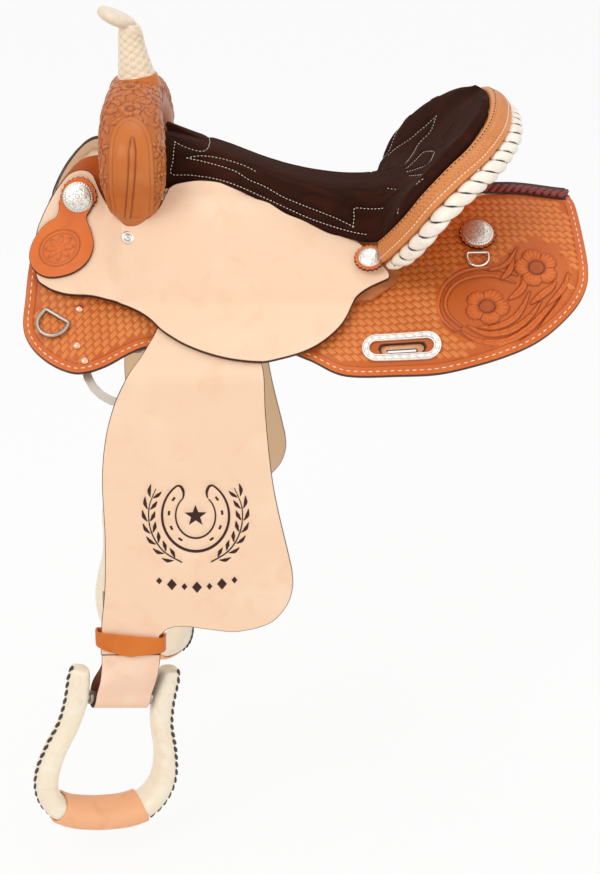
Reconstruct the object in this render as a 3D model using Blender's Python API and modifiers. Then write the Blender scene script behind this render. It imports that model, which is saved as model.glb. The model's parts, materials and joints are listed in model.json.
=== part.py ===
"""Western barrel saddle with rawhide horn and stirrups, as separate pieces on a wooden tree.

Frame: +X points to the horse's tail, -Y to its left side, +Z up. The origin is the crest of the
rack or back that carries the saddle, midway along the tree bars. Sizes are written in millimetres
and placed in metres through MM.

Each side of the saddle is laid out on a flat side plane, as a saddler lays out a pattern: x runs
along the horse, v runs down the slope from the ridge, and h stands off the skirt's underside.
"""

import math

import bmesh
import bpy
from mathutils import Matrix, Vector

MM = 0.001
LEFT, RIGHT = -1, 1
SIDES = ((LEFT, "left"), (RIGHT, "right"))

# Side plane: its slope, and the line |y|, z where v = 0
SLOPE = math.radians(42)
RIDGE_Y, RIDGE_Z = 15, 20

# Leather and tree thicknesses
SKIRT, FLEECE, JOCKEY, COVER, KEEPER, FENDER = 5, 13.6, 3.5, 3, 3.5, 4
FOAM, BOARD = 8, 12
BAR_DEPTH = 21.6
GAP = 0.4
JOCKEY_LIFT = 14.5
FENDER_LIFT = 9
RING_DEPTH, RING_LEAN = 3.2, math.radians(20)
SEAT_RISE = 55

# Fender, neck and stirrup
SWING_X, SWING_V = -112, 75
BEND_V = 214
HANG = math.radians(84)
HOBBLE_TOP, HOBBLE_BOTTOM = 299, 322
STRAP_HALF = 33
BOLT = (-207, 209, -494)
STIRRUP_TURN = {LEFT: math.radians(20), RIGHT: math.radians(42)}
STIRRUP_TILT = {LEFT: math.radians(12), RIGHT: math.radians(-1)}
BOLT_RADIUS, BOLT_HALF, SLEEVE_RADIUS = 5, 57, 8

# Horn
HORN_BASE = (-177, 0, 172)
HORN_LEAN = math.radians(8)
CAP_CENTRE = (-198, 0, 240)
CAP_TILT = math.radians(24)
CAP_RADIUS, CAP_DEPTH = 22.5, 13

# Lines along which every layer of a side is cut, so that all of them bend alike
X_CUTS = (-280, -260, -240, -220, -200, -175, -150, -125, -95, -65, -35, -5, 25, 50, 72, 97, 122, 147,
          175, 210, 250, 290)
V_CUTS = (-10, 10, 30, 50, 75, 100, 125, 150, 180)

SKIRT_OUTLINE = (
    (-218, -28, 1), (-234, -23), (-247, -15), (-262, 1), (-276, 22), (-288, 52), (-297, 78),
    (-301, 108), (-303, 147), (-294, 171), (-274, 191), (-249, 205), (-232, 206), (-212, 197),
    (-185, 180), (-161, 172), (-100, 171), (-30, 175), (10, 190), (49, 210), (109, 211),
    (164, 209), (218, 196), (263, 176), (298, 146), (317, 118), (324, 88), (323, 38),
    (319, -6), (313, -19, 1), (240, -19), (205, -14), (170, 12), (120, 18), (0, 18), (-100, 12),
    (-180, -8),
)
FLEECE_OUTLINE = (
    (-216, -20, 1), (-234, -15), (-252, 0), (-268, 22), (-281, 52), (-290, 80), (-294, 108),
    (-296, 147), (-288, 163), (-270, 172), (-249, 167), (-232, 162), (-212, 160), (-185, 159),
    (-161, 160), (-100, 164), (-30, 168), (12, 184), (49, 203), (75, 204, 1), (79, 167, 1),
    (147, 167, 1), (151, 203, 1), (163, 202),
    (215, 190), (259, 170), (292, 142), (310, 115), (317, 86), (316, 40), (313, 8, 1),
    (240, 4), (170, 18), (120, 24), (0, 24), (-100, 18), (-180, 0),
)
JOCKEY_OUTLINE = (
    (-246, 0), (-234, 2), (-225, 12), (-218, 32), (-206, 52), (-188, 62), (-166, 58), (-150, 42),
    (-142, 12, 1), (-113, 5), (-74, 7), (-30, 27), (14, 45), (59, 54), (83, 60), (100, 75),
    (106, 88), (112, 104), (111, 116), (101, 124), (79, 134), (58, 161), (33, 181), (0, 193),
    (-43, 199), (-70, 199), (-97, 194), (-130, 181), (-152, 169), (-185, 153), (-218, 137),
    (-240, 133), (-262, 126), (-279, 111), (-289, 97), (-291, 81), (-285, 55), (-273, 31),
    (-259, 11),
)
KEEPER_OUTLINE = (
    (-241, -2), (-255, 4), (-261, 18), (-265, 35), (-278, 46), (-291, 61), (-296, 77),
    (-291, 91), (-275, 99), (-250, 96), (-233, 86), (-225, 70), (-227, 55), (-232, 42),
    (-227, 29), (-221, 15), (-228, 2),
)
FENDER_TOP_OUTLINE = (
    (-187, BEND_V - 1, 1), (-173, 190), (-160, 165), (-152, 148), (-137, 136), (-112, 131),
    (-87, 136), (-72, 148), (-55, 165), (-44, 190), (-39, BEND_V - 1, 1),
)
FENDER_OUTLINE = (
    (-188, 1, 1), (-202, 30), (-213, 70), (-218, 118), (-217, 180), (-219, 240), (-224, 285),
    (-226, HOBBLE_BOTTOM, 1), (-159, HOBBLE_BOTTOM, 1), (-159, 300, 1), (-148, 291), (-130, 289),
    (-103, 293), (-71, 296), (-34, 287), (-16, 265), (-7, 237), (-10, 215), (-29, 128), (-37, 50),
    (-39, 1, 1),
)
# Seat stations from the fork to the top of the cantle: centre x z, near edge x y z, edge power
SEAT = (
    (-142, 118, -142, 57, 64, 8), (-113, 107, -113, 58, 72, 5), (-75, 95, -75, 63, 68, 3.5),
    (-30, 77, -30, 69, 49, 3.5), (15, 64, 15, 74, 27, 4), (60, 58, 60, 78, 11, 4.2),
    (98, 60, 86, 88, 9, 3.6), (125, 68, 98, 112, 28, 3), (148, 82, 114, 134, 53, 2.6),
    (168, 100, 131, 145, 79, 2.3), (183, 119, 156, 138, 105, 2.1), (195, 135, 180, 117, 123, 2),
    (206, 148, 201, 80, 141, 2), (212, 158, 210, 42, 154, 2),
)
# Fork arch from the crown to the foot: outer y z, inner y z, middle x, half length in x
ARCH = (
    (0, 176, 0, 132, -180, 29), (38, 174, 32, 127, -180, 31), (80, 166, 56, 113, -180, 34),
    (116, 148, 70, 94, -179, 36), (140, 122, 77, 79, -178, 36), (143, 96, 78, 67, -178, 35),
    (129, 71, 76, 58, -179, 31),
    (112, 47, 76, 48, -180, 26), (104, 27, 84, 38, -181, 14),
)
# Stirrup half, from the crown of a branch to the middle of the tread: x z, half width, half depth
STIRRUP = (
    (54, 38, 7, 9), (54, 34, 11, 12), (53, 20, 12.5, 13.5), (52, -4, 13, 14), (56, -34, 12, 14.5),
    (66, -66, 12, 16), (71, -95, 13, 18), (68, -118, 13, 20), (55, -138, 12.5, 22),
    (32, -148, 12, 23), (0, -151, 12, 23),
)

LOOKS = {
    "tan": ((0.55, 0.22, 0.07), 0.5, 0),
    "pale": ((0.86, 0.64, 0.50), 0.6, 0),
    "strap": ((0.72, 0.30, 0.08), 0.45, 0),
    "suede": ((0.045, 0.018, 0.012), 0.95, 0),
    "rawhide": ((0.82, 0.74, 0.60), 0.45, 0),
    "fleece": ((0.80, 0.74, 0.62), 1, 0),
    "wood": ((0.52, 0.36, 0.20), 0.6, 0),
    "foam": ((0.72, 0.66, 0.50), 0.9, 0),
    "silver": ((0.80, 0.80, 0.80), 0.25, 1),
    "steel": ((0.55, 0.56, 0.58), 0.35, 1),
    "lace": ((0.12, 0.015, 0.012), 0.4, 0),
}


def ease(low, high, value):
    """0 below low, 1 above high, and a smooth step between."""
    t = min(1, max(0, (value - low) / (high - low)))
    return t * t * (3 - 2 * t)


def skirt_rise(x, v):
    """How far the skirt's underside stands off the side plane: flared at the front and rear."""
    front = ease(40, 235, -x)
    rear = ease(60, 200, x)
    rise = front * 76 * max(0, (125 - v) / 151) ** 1.3 + 5 * ease(200, 240, -x) + 16.5 * rear
    rise -= (1 - front) * (1 - 0.6 * rear) * max(0, 120 - v) ** 2 / 1000
    rise -= 7 * ease(240, 325, x) * (1 - ease(0, 120, v))
    return rise - max(ease(60, 160, x), ease(230, 290, -x)) * max(0, v - 120) ** 2 / 800


def bar_bulge(x, v, rear=90, tip=165):
    """A lens across v, tapering to its two ends: how the bar and the leather over it swell."""
    lens = max(0, 1 - ((v - 70) / 55) ** 2)
    return BAR_DEPTH * ease(-215, -190, x) * (1 - ease(rear, tip, x)) * lens**0.7


def bar_depth(x, v):
    """The tree bar's thickness. Its tip ends under the jockey's corner."""
    return bar_bulge(x, v, 62, 122)


def bar_top(x, v):
    return SKIRT + GAP + bar_depth(x, v)


def jockey_under(x, v):
    """The seat jockey's underside: over the bar and the leathers, raised towards the seat."""
    lift = JOCKEY_LIFT - 4 * ease(215, 270, -x) - 3.5 * ease(60, 110, x)
    seat = SEAT_RISE * ease(-215, -75, x) * (1 - ease(-75, 85, x)) * (1 - ease(5, 130, v))
    return lift + 0.778 * bar_bulge(x, v) + seat


def jockey_top(x, v):
    return jockey_under(x, v) + JOCKEY


def level(h):
    return lambda x, v: h


def side_point(side, x, v, h):
    """A point in metres, h millimetres above the skirt's underside at x, v."""
    w = skirt_rise(x, v) + h
    y = RIDGE_Y + v * math.cos(SLOPE) + w * math.sin(SLOPE)
    z = RIDGE_Z - v * math.sin(SLOPE) + w * math.cos(SLOPE)
    return Vector((x, side * y, z)) * MM


def side_frame(side, x, v, h, turn=0):
    """A placement on the side surface: local X along the horse, to the tail on the left side and to
    the head on the right, Y up the slope, Z outward. turn is mirrored from side to side."""
    at = side_point(side, x, v, h)
    along = (side_point(side, x + 4, v, h) - side_point(side, x - 4, v, h)).normalized()
    up = (side_point(side, x, v - 4, h) - side_point(side, x, v + 4, h)).normalized()
    out = along.cross(up).normalized()
    if out.z < 0:
        out = -out
        along = -along
    axes = Matrix((along, out.cross(along), out)).transposed().to_4x4()
    return Matrix.Translation(at) @ axes @ Matrix.Rotation(-side * turn, 4, "Z")


def height_over(x, y, h):
    """z, in millimetres, of the surface h(x, v) above the skirt where it stands over |y|."""
    low, high = -80, 240
    for _ in range(40):
        v = (low + high) / 2
        if side_point(RIGHT, x, v, h(x, v)).y / MM < y:
            low = v
        else:
            high = v
    return side_point(RIGHT, x, v, h(x, v)).z / MM


def spline(values, s):
    """Catmull-Rom through a row of tuples, at the position s counted in its steps."""
    i = min(int(s), len(values) - 2)
    t = s - i
    a, b, c, d = (values[min(max(i + k, 0), len(values) - 1)] for k in (-1, 0, 1, 2))
    return [
        0.5 * (2 * q + (r - p) * t + (2 * p - 5 * q + 4 * r - w) * t * t + (3 * q - p - 3 * r + w) * t**3)
        for p, q, r, w in zip(a, b, c, d)
    ]


def smooth_outline(points, steps=2):
    """A closed outline rounded between its points. A third value marks a sharp corner."""
    count = len(points)
    out = []
    for i in range(count):
        a, b, c, d = (points[(i + k) % count] for k in (-1, 0, 1, 2))
        if len(b) > 2:
            a = b
        if len(c) > 2:
            d = c
        for step in range(steps):
            x, v = spline((a[:2], b[:2], c[:2], d[:2]), 1 + step / steps)
            out.append((x, v))
    return out


def finish_of(name, look):
    """A material for one node alone."""
    colour, roughness, metallic = LOOKS[look]
    material = bpy.data.materials.new(name)
    material.use_nodes = True
    shader = material.node_tree.nodes["Principled BSDF"]
    shader.inputs["Base Color"].default_value = (*colour, 1)
    shader.inputs["Roughness"].default_value = roughness
    shader.inputs["Metallic"].default_value = metallic
    return material


def add_object(name, mesh, look, at=None):
    """Puts a mesh in the saddle's collection with its own material. at is its pivot, in metres."""
    mesh.materials.append(finish_of(name, look))
    if at is not None:
        mesh.transform(Matrix.Translation(-at))
    obj = bpy.data.objects.new(name, mesh)
    if at is not None:
        obj.location = at
    bpy.data.collections["saddle"].objects.link(obj)
    return obj


def to_mesh(name, bm, closed=True):
    if closed:
        bmesh.ops.recalc_face_normals(bm, faces=bm.faces)
        if bm.calc_volume(signed=True) < 0:
            bmesh.ops.reverse_faces(bm, faces=bm.faces)
    mesh = bpy.data.meshes.new(name)
    bm.to_mesh(mesh)
    bm.free()
    return mesh


def cut_flat(outline, bent):
    """A flat pattern piece, cut along x and v lines so that it can bend."""
    bm = bmesh.new()
    bm.faces.new([bm.verts.new((x, v, 0)) for x, v in outline])
    for axis, places in enumerate((X_CUTS, V_CUTS) if bent else ()):
        normal = [0, 0, 0]
        normal[axis] = 1
        for place in places:
            at = [0, 0, 0]
            at[axis] = place
            parts = bm.verts[:] + bm.edges[:] + bm.faces[:]
            bmesh.ops.bisect_plane(bm, geom=parts, dist=0.01, plane_co=at, plane_no=normal)
    bmesh.ops.triangulate(bm, faces=bm.faces[:])
    return bm


def panel(name, side, outline, low, high, look, place=side_point, at=None):
    """Leather cut flat, given its thickness, and bent over the side of the saddle."""
    bm = cut_flat(outline, place is side_point)
    bmesh.ops.solidify(bm, geom=bm.faces[:], thickness=1)
    for vert in bm.verts:
        x, v = vert.co.x, vert.co.y
        layer = high if abs(vert.co.z) > 0.5 else low
        vert.co = place(side, x, v, layer(x, v))
    return add_object(name, to_mesh(name, bm), look, at)


def loft(rows, ring=False, caps=False):
    """Faces between rows of points. A ring closes each row, and caps close the first and last."""
    bm = bmesh.new()
    grid = [[bm.verts.new(point) for point in row] for row in rows]
    for first, second in zip(grid, grid[1:]):
        count = len(first)
        for i in range(count if ring else count - 1):
            j = (i + 1) % count
            bm.faces.new((first[i], first[j], second[j], second[i]))
    if caps:
        bm.faces.new(grid[0])
        bm.faces.new(reversed(grid[-1]))
    return bm


def thicken(obj, thickness):
    """Gives an open surface its thickness, on the inner side."""
    solid = obj.modifiers.new("thickness", "SOLIDIFY")
    solid.thickness = thickness * MM
    solid.offset = -1
    solid.use_even_offset = True


def turned(name, profile, look, place, steps=24, closed=False):
    """A turned piece: (radius, height) points from top to bottom, spun about the local Z."""
    mesh = bpy.data.meshes.new(name)
    points = [(radius * MM, 0, height * MM) for radius, height in profile]
    edges = [(i, i + 1) for i in range(len(points) - 1)]
    if closed:
        edges.append((len(points) - 1, 0))
    mesh.from_pydata(points, edges, [])
    obj = add_object(name, mesh, look)
    obj.matrix_world = place
    screw = obj.modifiers.new("turn", "SCREW")
    screw.steps = steps
    screw.render_steps = steps
    screw.use_merge_vertices = True
    screw.merge_threshold = 0.00001
    return obj


def wire(name, points, radius, look, place):
    """A closed link of round wire through points given in millimetres in the frame of place."""
    curve = bpy.data.curves.new(name, "CURVE")
    curve.dimensions = "3D"
    curve.bevel_depth = radius * MM
    curve.bevel_resolution = 2
    run = curve.splines.new("POLY")
    run.points.add(len(points) - 1)
    for point, place_mm in zip(run.points, points):
        point.co = (*(Vector(place_mm) * MM), 1)
    run.use_cyclic_u = True
    obj = bpy.data.objects.new(name, curve)
    obj.matrix_world = place
    bpy.data.collections["saddle"].objects.link(obj)
    curve.materials.append(finish_of(name, look))
    return obj


def cutter(name, bm, place=None):
    obj = bpy.data.objects.new(name, to_mesh(name, bm))
    if place is not None:
        obj.matrix_world = place
    obj.hide_render = True
    obj.display_type = "WIRE"
    bpy.data.collections["cutters"].objects.link(obj)
    return obj


def block(size):
    bm = bmesh.new()
    bmesh.ops.create_cube(bm, size=1)
    bmesh.ops.scale(bm, vec=Vector(size) * MM, verts=bm.verts)
    return bm


def rod(radius, length):
    bm = bmesh.new()
    bmesh.ops.create_cone(bm, cap_ends=True, segments=20, radius1=radius * MM, radius2=radius * MM,
                          depth=length * MM)
    return bm


def carve(obj, tool):
    cut = obj.modifiers.new("cut " + tool.name, "BOOLEAN")
    cut.operation = "DIFFERENCE"
    cut.object = tool


def clear_scene():
    for obj in list(bpy.data.objects):
        bpy.data.objects.remove(obj, do_unlink=True)
    for name in ("saddle", "cutters"):
        collection = bpy.data.collections.new(name)
        bpy.context.scene.collection.children.link(collection)


def build_bars():
    outline = smooth_outline(
        [(-212, 20), (-190, 17), (-100, 16.5), (0, 16.5), (80, 18), (110, 34), (116, 70), (110, 98),
         (80, 120), (0, 123.5), (-100, 123.5), (-190, 123), (-212, 112), (-214, 70)], 1
    )
    for side, name in SIDES:
        panel("tree_bar_" + name, side, outline, level(SKIRT + 3 * GAP),
              lambda x, v: bar_top(x, v) + 1, "wood")


def arch_rows(inset, angles, steps=9):
    """Sections of the fork from the left foot over the crown to the right foot."""
    rows = []
    for k in range(-steps, steps + 1):
        t = k / steps
        side = -1 if t < 0 else 1
        oy, oz, iy, iz, mid, half = spline(ARCH, abs(t) * (len(ARCH) - 1))
        outer = Vector((0, side * oy, oz))
        inner = Vector((0, side * iy, iz))
        centre = (outer + inner) / 2 + Vector((mid, 0, 0))
        reach = (outer - inner).length / 2 - inset
        out = (outer - inner).normalized()
        row = []
        for angle in angles:
            c, s = math.cos(angle), math.sin(angle)
            across = math.copysign(abs(c) ** 0.8, c) * reach
            along = math.copysign(abs(s) ** 0.8, s) * (half - inset)
            row.append((centre + out * across + Vector((along, 0, 0))) * MM)
        rows.append(row)
    return rows


def arch_shell(name, angles):
    """Leather over part of the fork's section, from foot to foot."""
    rows = [outer + inner[::-1] for outer, inner in zip(arch_rows(0, angles), arch_rows(COVER, angles))]
    return add_object(name, to_mesh(name, loft(rows, True, True)), "tan")


def build_fork():
    lean = Matrix.Translation(Vector(HORN_BASE) * MM) @ Matrix.Rotation(-HORN_LEAN, 4, "Y")
    socket = cutter("horn_socket", rod(8.5, 60), lean @ Matrix.Translation((0, 0, 4 * MM)))
    collar = cutter("horn_collar", rod(23, 26), lean @ Matrix.Translation((0, 0, 9 * MM)))
    ring = [math.tau * i / 16 for i in range(16)]
    rows = arch_rows(COVER + 1, ring)
    fork = add_object("tree_fork", to_mesh("tree_fork", loft(rows, True, True)), "wood")
    carve(fork, socket)
    wrap = [math.radians(22.5 * i) for i in range(-6, 7)]
    cover = arch_shell("swell_cover", wrap)
    carve(cover, collar)
    under = [math.radians(a) for a in (142, 157.5, 180, 202.5, 218)]
    arch_shell("gullet_cover", under)


def build_horn():
    lean = Matrix.Translation(Vector(HORN_BASE) * MM) @ Matrix.Rotation(-HORN_LEAN, 4, "Y")
    tilt = Matrix.Translation(Vector(CAP_CENTRE) * MM) @ Matrix.Rotation(CAP_TILT, 4, "Y")
    above = Matrix.Translation((0, 0, (30 - CAP_DEPTH / 2 - GAP) * MM))
    room = cutter("cap_room", block((90, 90, 60)), tilt @ above)
    post = turned("horn_post", [(0, 70), (8, 70), (8, -24), (0, -24)], "steel", lean, 20)
    sides = [(17, 70), (14, 56), (14, 46), (16, 30), (20, 10), (22.5, 2), (8.5, 2), (8.5, 70)]
    wrap = turned("horn_wrap", sides, "rawhide", lean, 20, True)
    carve(post, room)
    carve(wrap, room)
    half = CAP_DEPTH / 2
    r = CAP_RADIUS
    profile = [(0, half), (r * 0.6, half - 0.4), (r - 3, half - 1.8), (r - 0.6, half - 3.6), (r, half - 5),
               (r - 1.5, half - 7), (r - 4.5, -half + 2), (r - 6, -half), (0, -half)]
    turned("horn_cap", profile, "rawhide", tilt, 24)


def seat_point(s, u):
    """A point on the top of the seat: s counts the stations, u runs from side to side."""
    cx, cz, ex, ey, ez, power = spline(SEAT, s)
    return Vector((cx + (ex - cx) * abs(u) ** 2, ey * u, cz + (ez - cz) * abs(u) ** power))


def seat_normal(s, u):
    d = 0.02
    a = seat_point(min(s + d, len(SEAT) - 1), u) - seat_point(max(s - d, 0), u)
    b = seat_point(s, min(u + d, 1)) - seat_point(s, max(u - d, -1))
    n = a.cross(b).normalized()
    return n if n.z > 0 else -n


def seat_layer(name, stations, across, depth, thickness, look):
    """One layer of the seat: it lies depth below the top and has a thickness."""
    rows = [[(seat_point(s, u) - seat_normal(s, u) * depth) * MM for u in across] for s in reversed(stations)]
    obj = add_object(name, to_mesh(name, loft(rows), False), look)
    thicken(obj, thickness)
    return obj


def build_seat():
    spread = [math.copysign(abs(k / 6) ** 0.7, k) * 0.99 for k in range(-6, 7)]
    last = len(SEAT) - 1
    stations = [last * i / 20 for i in range(21)]
    cover = seat_layer("seat_cover", stations, spread, 0, COVER, "suede")
    pad = seat_layer("seat_padding", stations[1:-2], spread[1:-1], COVER + 1, FOAM, "foam")
    notch = bmesh.new()
    corners = [(-160, -26), (-160, 26), (-99, 0)]
    face = notch.faces.new([notch.verts.new((x * MM, y * MM, 60 * MM)) for x, y in corners])
    lifted = bmesh.ops.extrude_face_region(notch, geom=[face])
    tops = [v for v in lifted["geom"] if isinstance(v, bmesh.types.BMVert)]
    bmesh.ops.translate(notch, vec=(0, 0, 90 * MM), verts=tops)
    hand_hole = cutter("hand_hole", notch)
    carve(cover, hand_hole)
    carve(pad, hand_hole)
    back = [s for s in stations if 7.4 < s < last - 1.2]
    seat_layer("tree_cantle", back, spread[1:-1], COVER + FOAM + 2, BOARD, "wood")
    seat_layer("cantle_back", back, spread[1:-1], COVER + FOAM + BOARD + 3, COVER, "tan")
    build_ground_seat(stations[1:9], spread[6:-1])


def build_ground_seat(stations, shares):
    """The built-up seat between the bars and the padding, with its flanks under the jockeys."""
    rows = []
    for s in stations:
        x, edge = seat_point(s, 0).x, seat_point(s, 1).y
        top, bottom = [], []
        for share in (*shares, 1.06, 1.2, 1.32):
            over = seat_point(s, min(share, 1)) - seat_normal(s, min(share, 1)) * (COVER + FOAM + 3.6)
            y = over.y if share < 1 else edge * share
            flank = height_over(x, y, jockey_under) - (8 if x < -100 else 3) if share > 0.8 else 999
            z = min(over.z, flank) if share < 1 else flank
            low = height_over(x, y, bar_top) + (7.6 if x < -60 else 4.4) if y > 30 else z - 9
            low = min(low, z - 1.5)
            top.append((x, y, z))
            bottom.append((x, y, low))
        half = top + bottom[::-1]
        mirrored = [(a, -b, c) for a, b, c in half[::-1]]
        ring = [p for p in half if p[1] > 0] + [bottom[0]] + [p for p in mirrored if p[1] < 0] + [top[0]]
        rows.append([Vector(p) * MM for p in ring])
    add_object("ground_seat", to_mesh("ground_seat", loft(rows, True, True)), "strap")


def rim_frames(count):
    """Points round the cantle rim from the left corner to the right, with outward and up vectors."""
    half = [(91, 98, 17), *(station[2:5] for station in SEAT[7:]), (213, 0, 158.5)]
    rim = [(x, -y, z) for x, y, z in half] + half[-2::-1]
    frames = []
    for k in range(count + 1):
        s = (len(rim) - 1) * k / count
        at = Vector(spline(rim, s))
        after, before = min(s + 0.1, len(rim) - 1), max(s - 0.1, 0)
        ahead = (Vector(spline(rim, after)) - Vector(spline(rim, before))).normalized()
        away = Vector((at.x - 70, at.y, 0)).normalized()
        away = (away - Vector((0, 0, 0.45))).normalized()
        away = (away - ahead * away.dot(ahead)).normalized()
        up = ahead.cross(away)
        up = up if up.dot(Vector((-0.4, 0, 1))) > 0 else -up
        frames.append((at, away, up))
    return frames


def build_cantle_roll():
    band = ((4.4, -1), (5, 2), (10, 3.5), (18, 3.5), (26, 1.5), (29, -2), (27, -6), (18, -5),
            (10, -5.5), (5, -6))
    rope = [(34.8 + 8 * math.cos(a), -10 + 7 * math.sin(a)) for a in [math.tau * i / 10 for i in range(10)]]
    for name, section, look in (("cantle_roll", band, "tan"), ("cantle_binding", rope, "rawhide")):
        rows = []
        for at, away, up in rim_frames(26):
            rows.append([(at + away * a + up * b) * MM for a, b in section])
        add_object(name, to_mesh(name, loft(rows, True, True)), look)


def build_leather():
    for side, name in SIDES:
        skirt = panel("skirt_" + name, side, smooth_outline(SKIRT_OUTLINE, 1), level(0), level(SKIRT), "tan")
        panel("fleece_" + name, side, smooth_outline(FLEECE_OUTLINE, 1), level(-FLEECE - 1), level(-1),
              "fleece")
        panel("jockey_" + name, side, smooth_outline(JOCKEY_OUTLINE, 1), jockey_under, jockey_top, "pale")
        panel("concho_keeper_" + name, side, smooth_outline(KEEPER_OUTLINE, 1),
              lambda x, v: jockey_top(x, v) + 1, lambda x, v: jockey_top(x, v) + 1 + KEEPER, "tan")
        slot = cutter("cinch_slot_" + name, block((48, 12, 60)), side_frame(side, 113, 179, 0))
        carve(skirt, slot)


def build_skirt_lace():
    rows = []
    for x in (222, 240, 262, 285, 308):
        edge = height_over(x, 12, level(SKIRT)) + 1
        ridge = height_over(x, 6, level(SKIRT)) + 1
        section = ((12, edge), (10, edge + 4), (5, ridge + 4.5), (0, ridge + 5.5), (-5, ridge + 4.5),
                   (-10, edge + 4), (-12, edge), (-6, ridge), (0, ridge), (6, ridge))
        rows.append([Vector((x, y, z)) * MM for y, z in section])
    add_object("skirt_lace", to_mesh("skirt_lace", loft(rows, True, True)), "lace")


def ring_outline(length, width, band, turns=24):
    """Outer and inner outlines of a flat link with round ends, about its own centre."""
    outer, inner = [], []
    for i in range(turns):
        a = 2 * math.pi * i / turns + math.pi / turns
        shift = math.copysign(max(0, (length - width) / 2), math.cos(a))
        outer.append((shift + width / 2 * math.cos(a), width / 2 * math.sin(a)))
        r = width / 2 - band
        inner.append((shift + r * math.cos(a), r * math.sin(a)))
    return outer, inner


def slot_plate(side, name):
    """The cinch slot's plate, a link bent to the skirt."""
    outer, inner = ring_outline(87, 33, 8.5)
    low, high = SKIRT + 0.8, SKIRT + 2.4
    rows = [
        [side_point(side, 112 + x, 178 + y, h) for x, y in outline]
        for outline, h in ((outer, low), (outer, high), (inner, high), (inner, low))
    ]
    add_object(name, to_mesh(name, loft(rows + rows[:1], True)), "silver")


def rigging_ring(side, name):
    """A flat dee: its bar is held under the skirt, and it leans in behind the hanging fender."""
    outer, inner = ring_outline(100, 100, 9.5)
    outer = [(x, min(y, 20)) for x, y in outer]
    inner = [(x, min(y, 10.5)) for x, y in inner]
    rows = [
        [Vector((x, y, z)) * MM for x, y in outline]
        for outline, z in ((outer, 0), (outer, RING_DEPTH), (inner, RING_DEPTH), (inner, 0))
    ]
    obj = add_object(name, to_mesh(name, loft(rows + rows[:1], True)), "steel")
    obj.matrix_world = side_frame(side, -190, 184, -7.6 - RING_DEPTH) @ Matrix.Rotation(RING_LEAN, 4, "X")


def concho(name, radius, dome, place, look="silver"):
    turned(name, [(0, dome), (radius * 0.45, dome * 0.9), (radius * 0.78, dome * 0.6), (radius, dome * 0.25),
                  (radius, 0), (0, 0)], look, place, 16)


def build_fittings():
    for side, name in SIDES:
        concho("front_concho_" + name, 17, 6, side_frame(side, -241, 17, jockey_top(-241, 17) + KEEPER + 3))
        lift = jockey_top(82, 80) + 3.6
        concho("corner_rosette_" + name, 17.5, 3, side_frame(side, 82, 80, lift), "tan")
        concho("corner_concho_" + name, 13, 4.5, side_frame(side, 82, 80, lift + 3.4))
        concho("rear_rosette_" + name, 21, 3, side_frame(side, 203, 41, SKIRT + 1.6), "tan")
        concho("rear_concho_" + name, 17.5, 5, side_frame(side, 203, 41, SKIRT + 5))
        slot_plate(side, "slot_plate_" + name)
        rigging_ring(side, "rigging_ring_" + name)
        build_dees(side, name)


def dee_points(width, drop):
    """A dee in its own plane: the straight bar lies on the local X axis, the bow hangs to -Y."""
    points = [(-width / 2, 0, 0), (width / 2, 0, 0)]
    for i in range(9):
        a = math.pi * i / 8
        points.append((width / 2 * math.cos(a), -drop * 0.35 - drop * 0.65 * math.sin(a), 0))
    return points


def build_dees(side, name):
    rear = side_frame(side, 201, 66, SKIRT + 2.4)
    wire("rear_dee_" + name, dee_points(24, 18), 1.5, "silver", rear)
    front = side_frame(side, -265, 138, SKIRT + 3.4, math.radians(-34))
    wire("breast_dee_" + name, dee_points(33, 26), 2.2, "steel", front)


def fender_point(side, x, u, h):
    """A point on the hanging fender, u below its bend and h outward from its middle."""
    at = Vector((x, *bend_line()))
    y = at.y + u * math.cos(HANG) + h * math.sin(HANG)
    z = at.z - u * math.sin(HANG) + h * math.cos(HANG)
    return Vector((x, side * y, z)) * MM


def bend_line():
    w = FENDER_LIFT + FENDER / 2
    return (RIDGE_Y + BEND_V * math.cos(SLOPE) + w * math.sin(SLOPE),
            RIDGE_Z - BEND_V * math.sin(SLOPE) + w * math.cos(SLOPE))


def stirrup_frame(side):
    turn = Matrix.Rotation(-side * STIRRUP_TURN[side], 4, "Z") @ Matrix.Rotation(STIRRUP_TILT[side], 4, "Y")
    return Matrix.Translation(Vector((BOLT[0], side * BOLT[1], BOLT[2])) * MM) @ turn


def flat_point(side, x, v, h):
    """A point over the flat middle of the side plane, which the swinging leathers keep to."""
    y = RIDGE_Y + v * math.cos(SLOPE) + h * math.sin(SLOPE)
    z = RIDGE_Z - v * math.sin(SLOPE) + h * math.cos(SLOPE)
    return Vector((x, side * y, z)) * MM


def build_leathers():
    loop_outline = [(-149, 20), (-149, 124), (-75, 124), (-75, 20)]
    for side, name in SIDES:
        panel("stirrup_leather_" + name, side, loop_outline, lambda x, v: bar_top(x, v) + 2.8,
              lambda x, v: bar_top(x, v) + 5.4, "strap")
        pivot = flat_point(side, SWING_X, SWING_V, FENDER_LIFT)
        panel("fender_top_" + name, side, smooth_outline(FENDER_TOP_OUTLINE, 1), level(FENDER_LIFT),
              level(FENDER_LIFT + FENDER), "pale", flat_point, pivot)
        hinge = fender_point(side, SWING_X, 0, 0)
        fender = panel("fender_" + name, side, smooth_outline(FENDER_OUTLINE, 2), level(-FENDER / 2),
                       level(FENDER / 2), "pale", fender_point, hinge)
        for piece in (build_hobble(side, name), build_buckle(side, name)):
            piece.parent = fender
            piece.matrix_parent_inverse = Matrix.Translation(-hinge)
        build_neck(side, name)
        build_stirrup(side, name)


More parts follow.
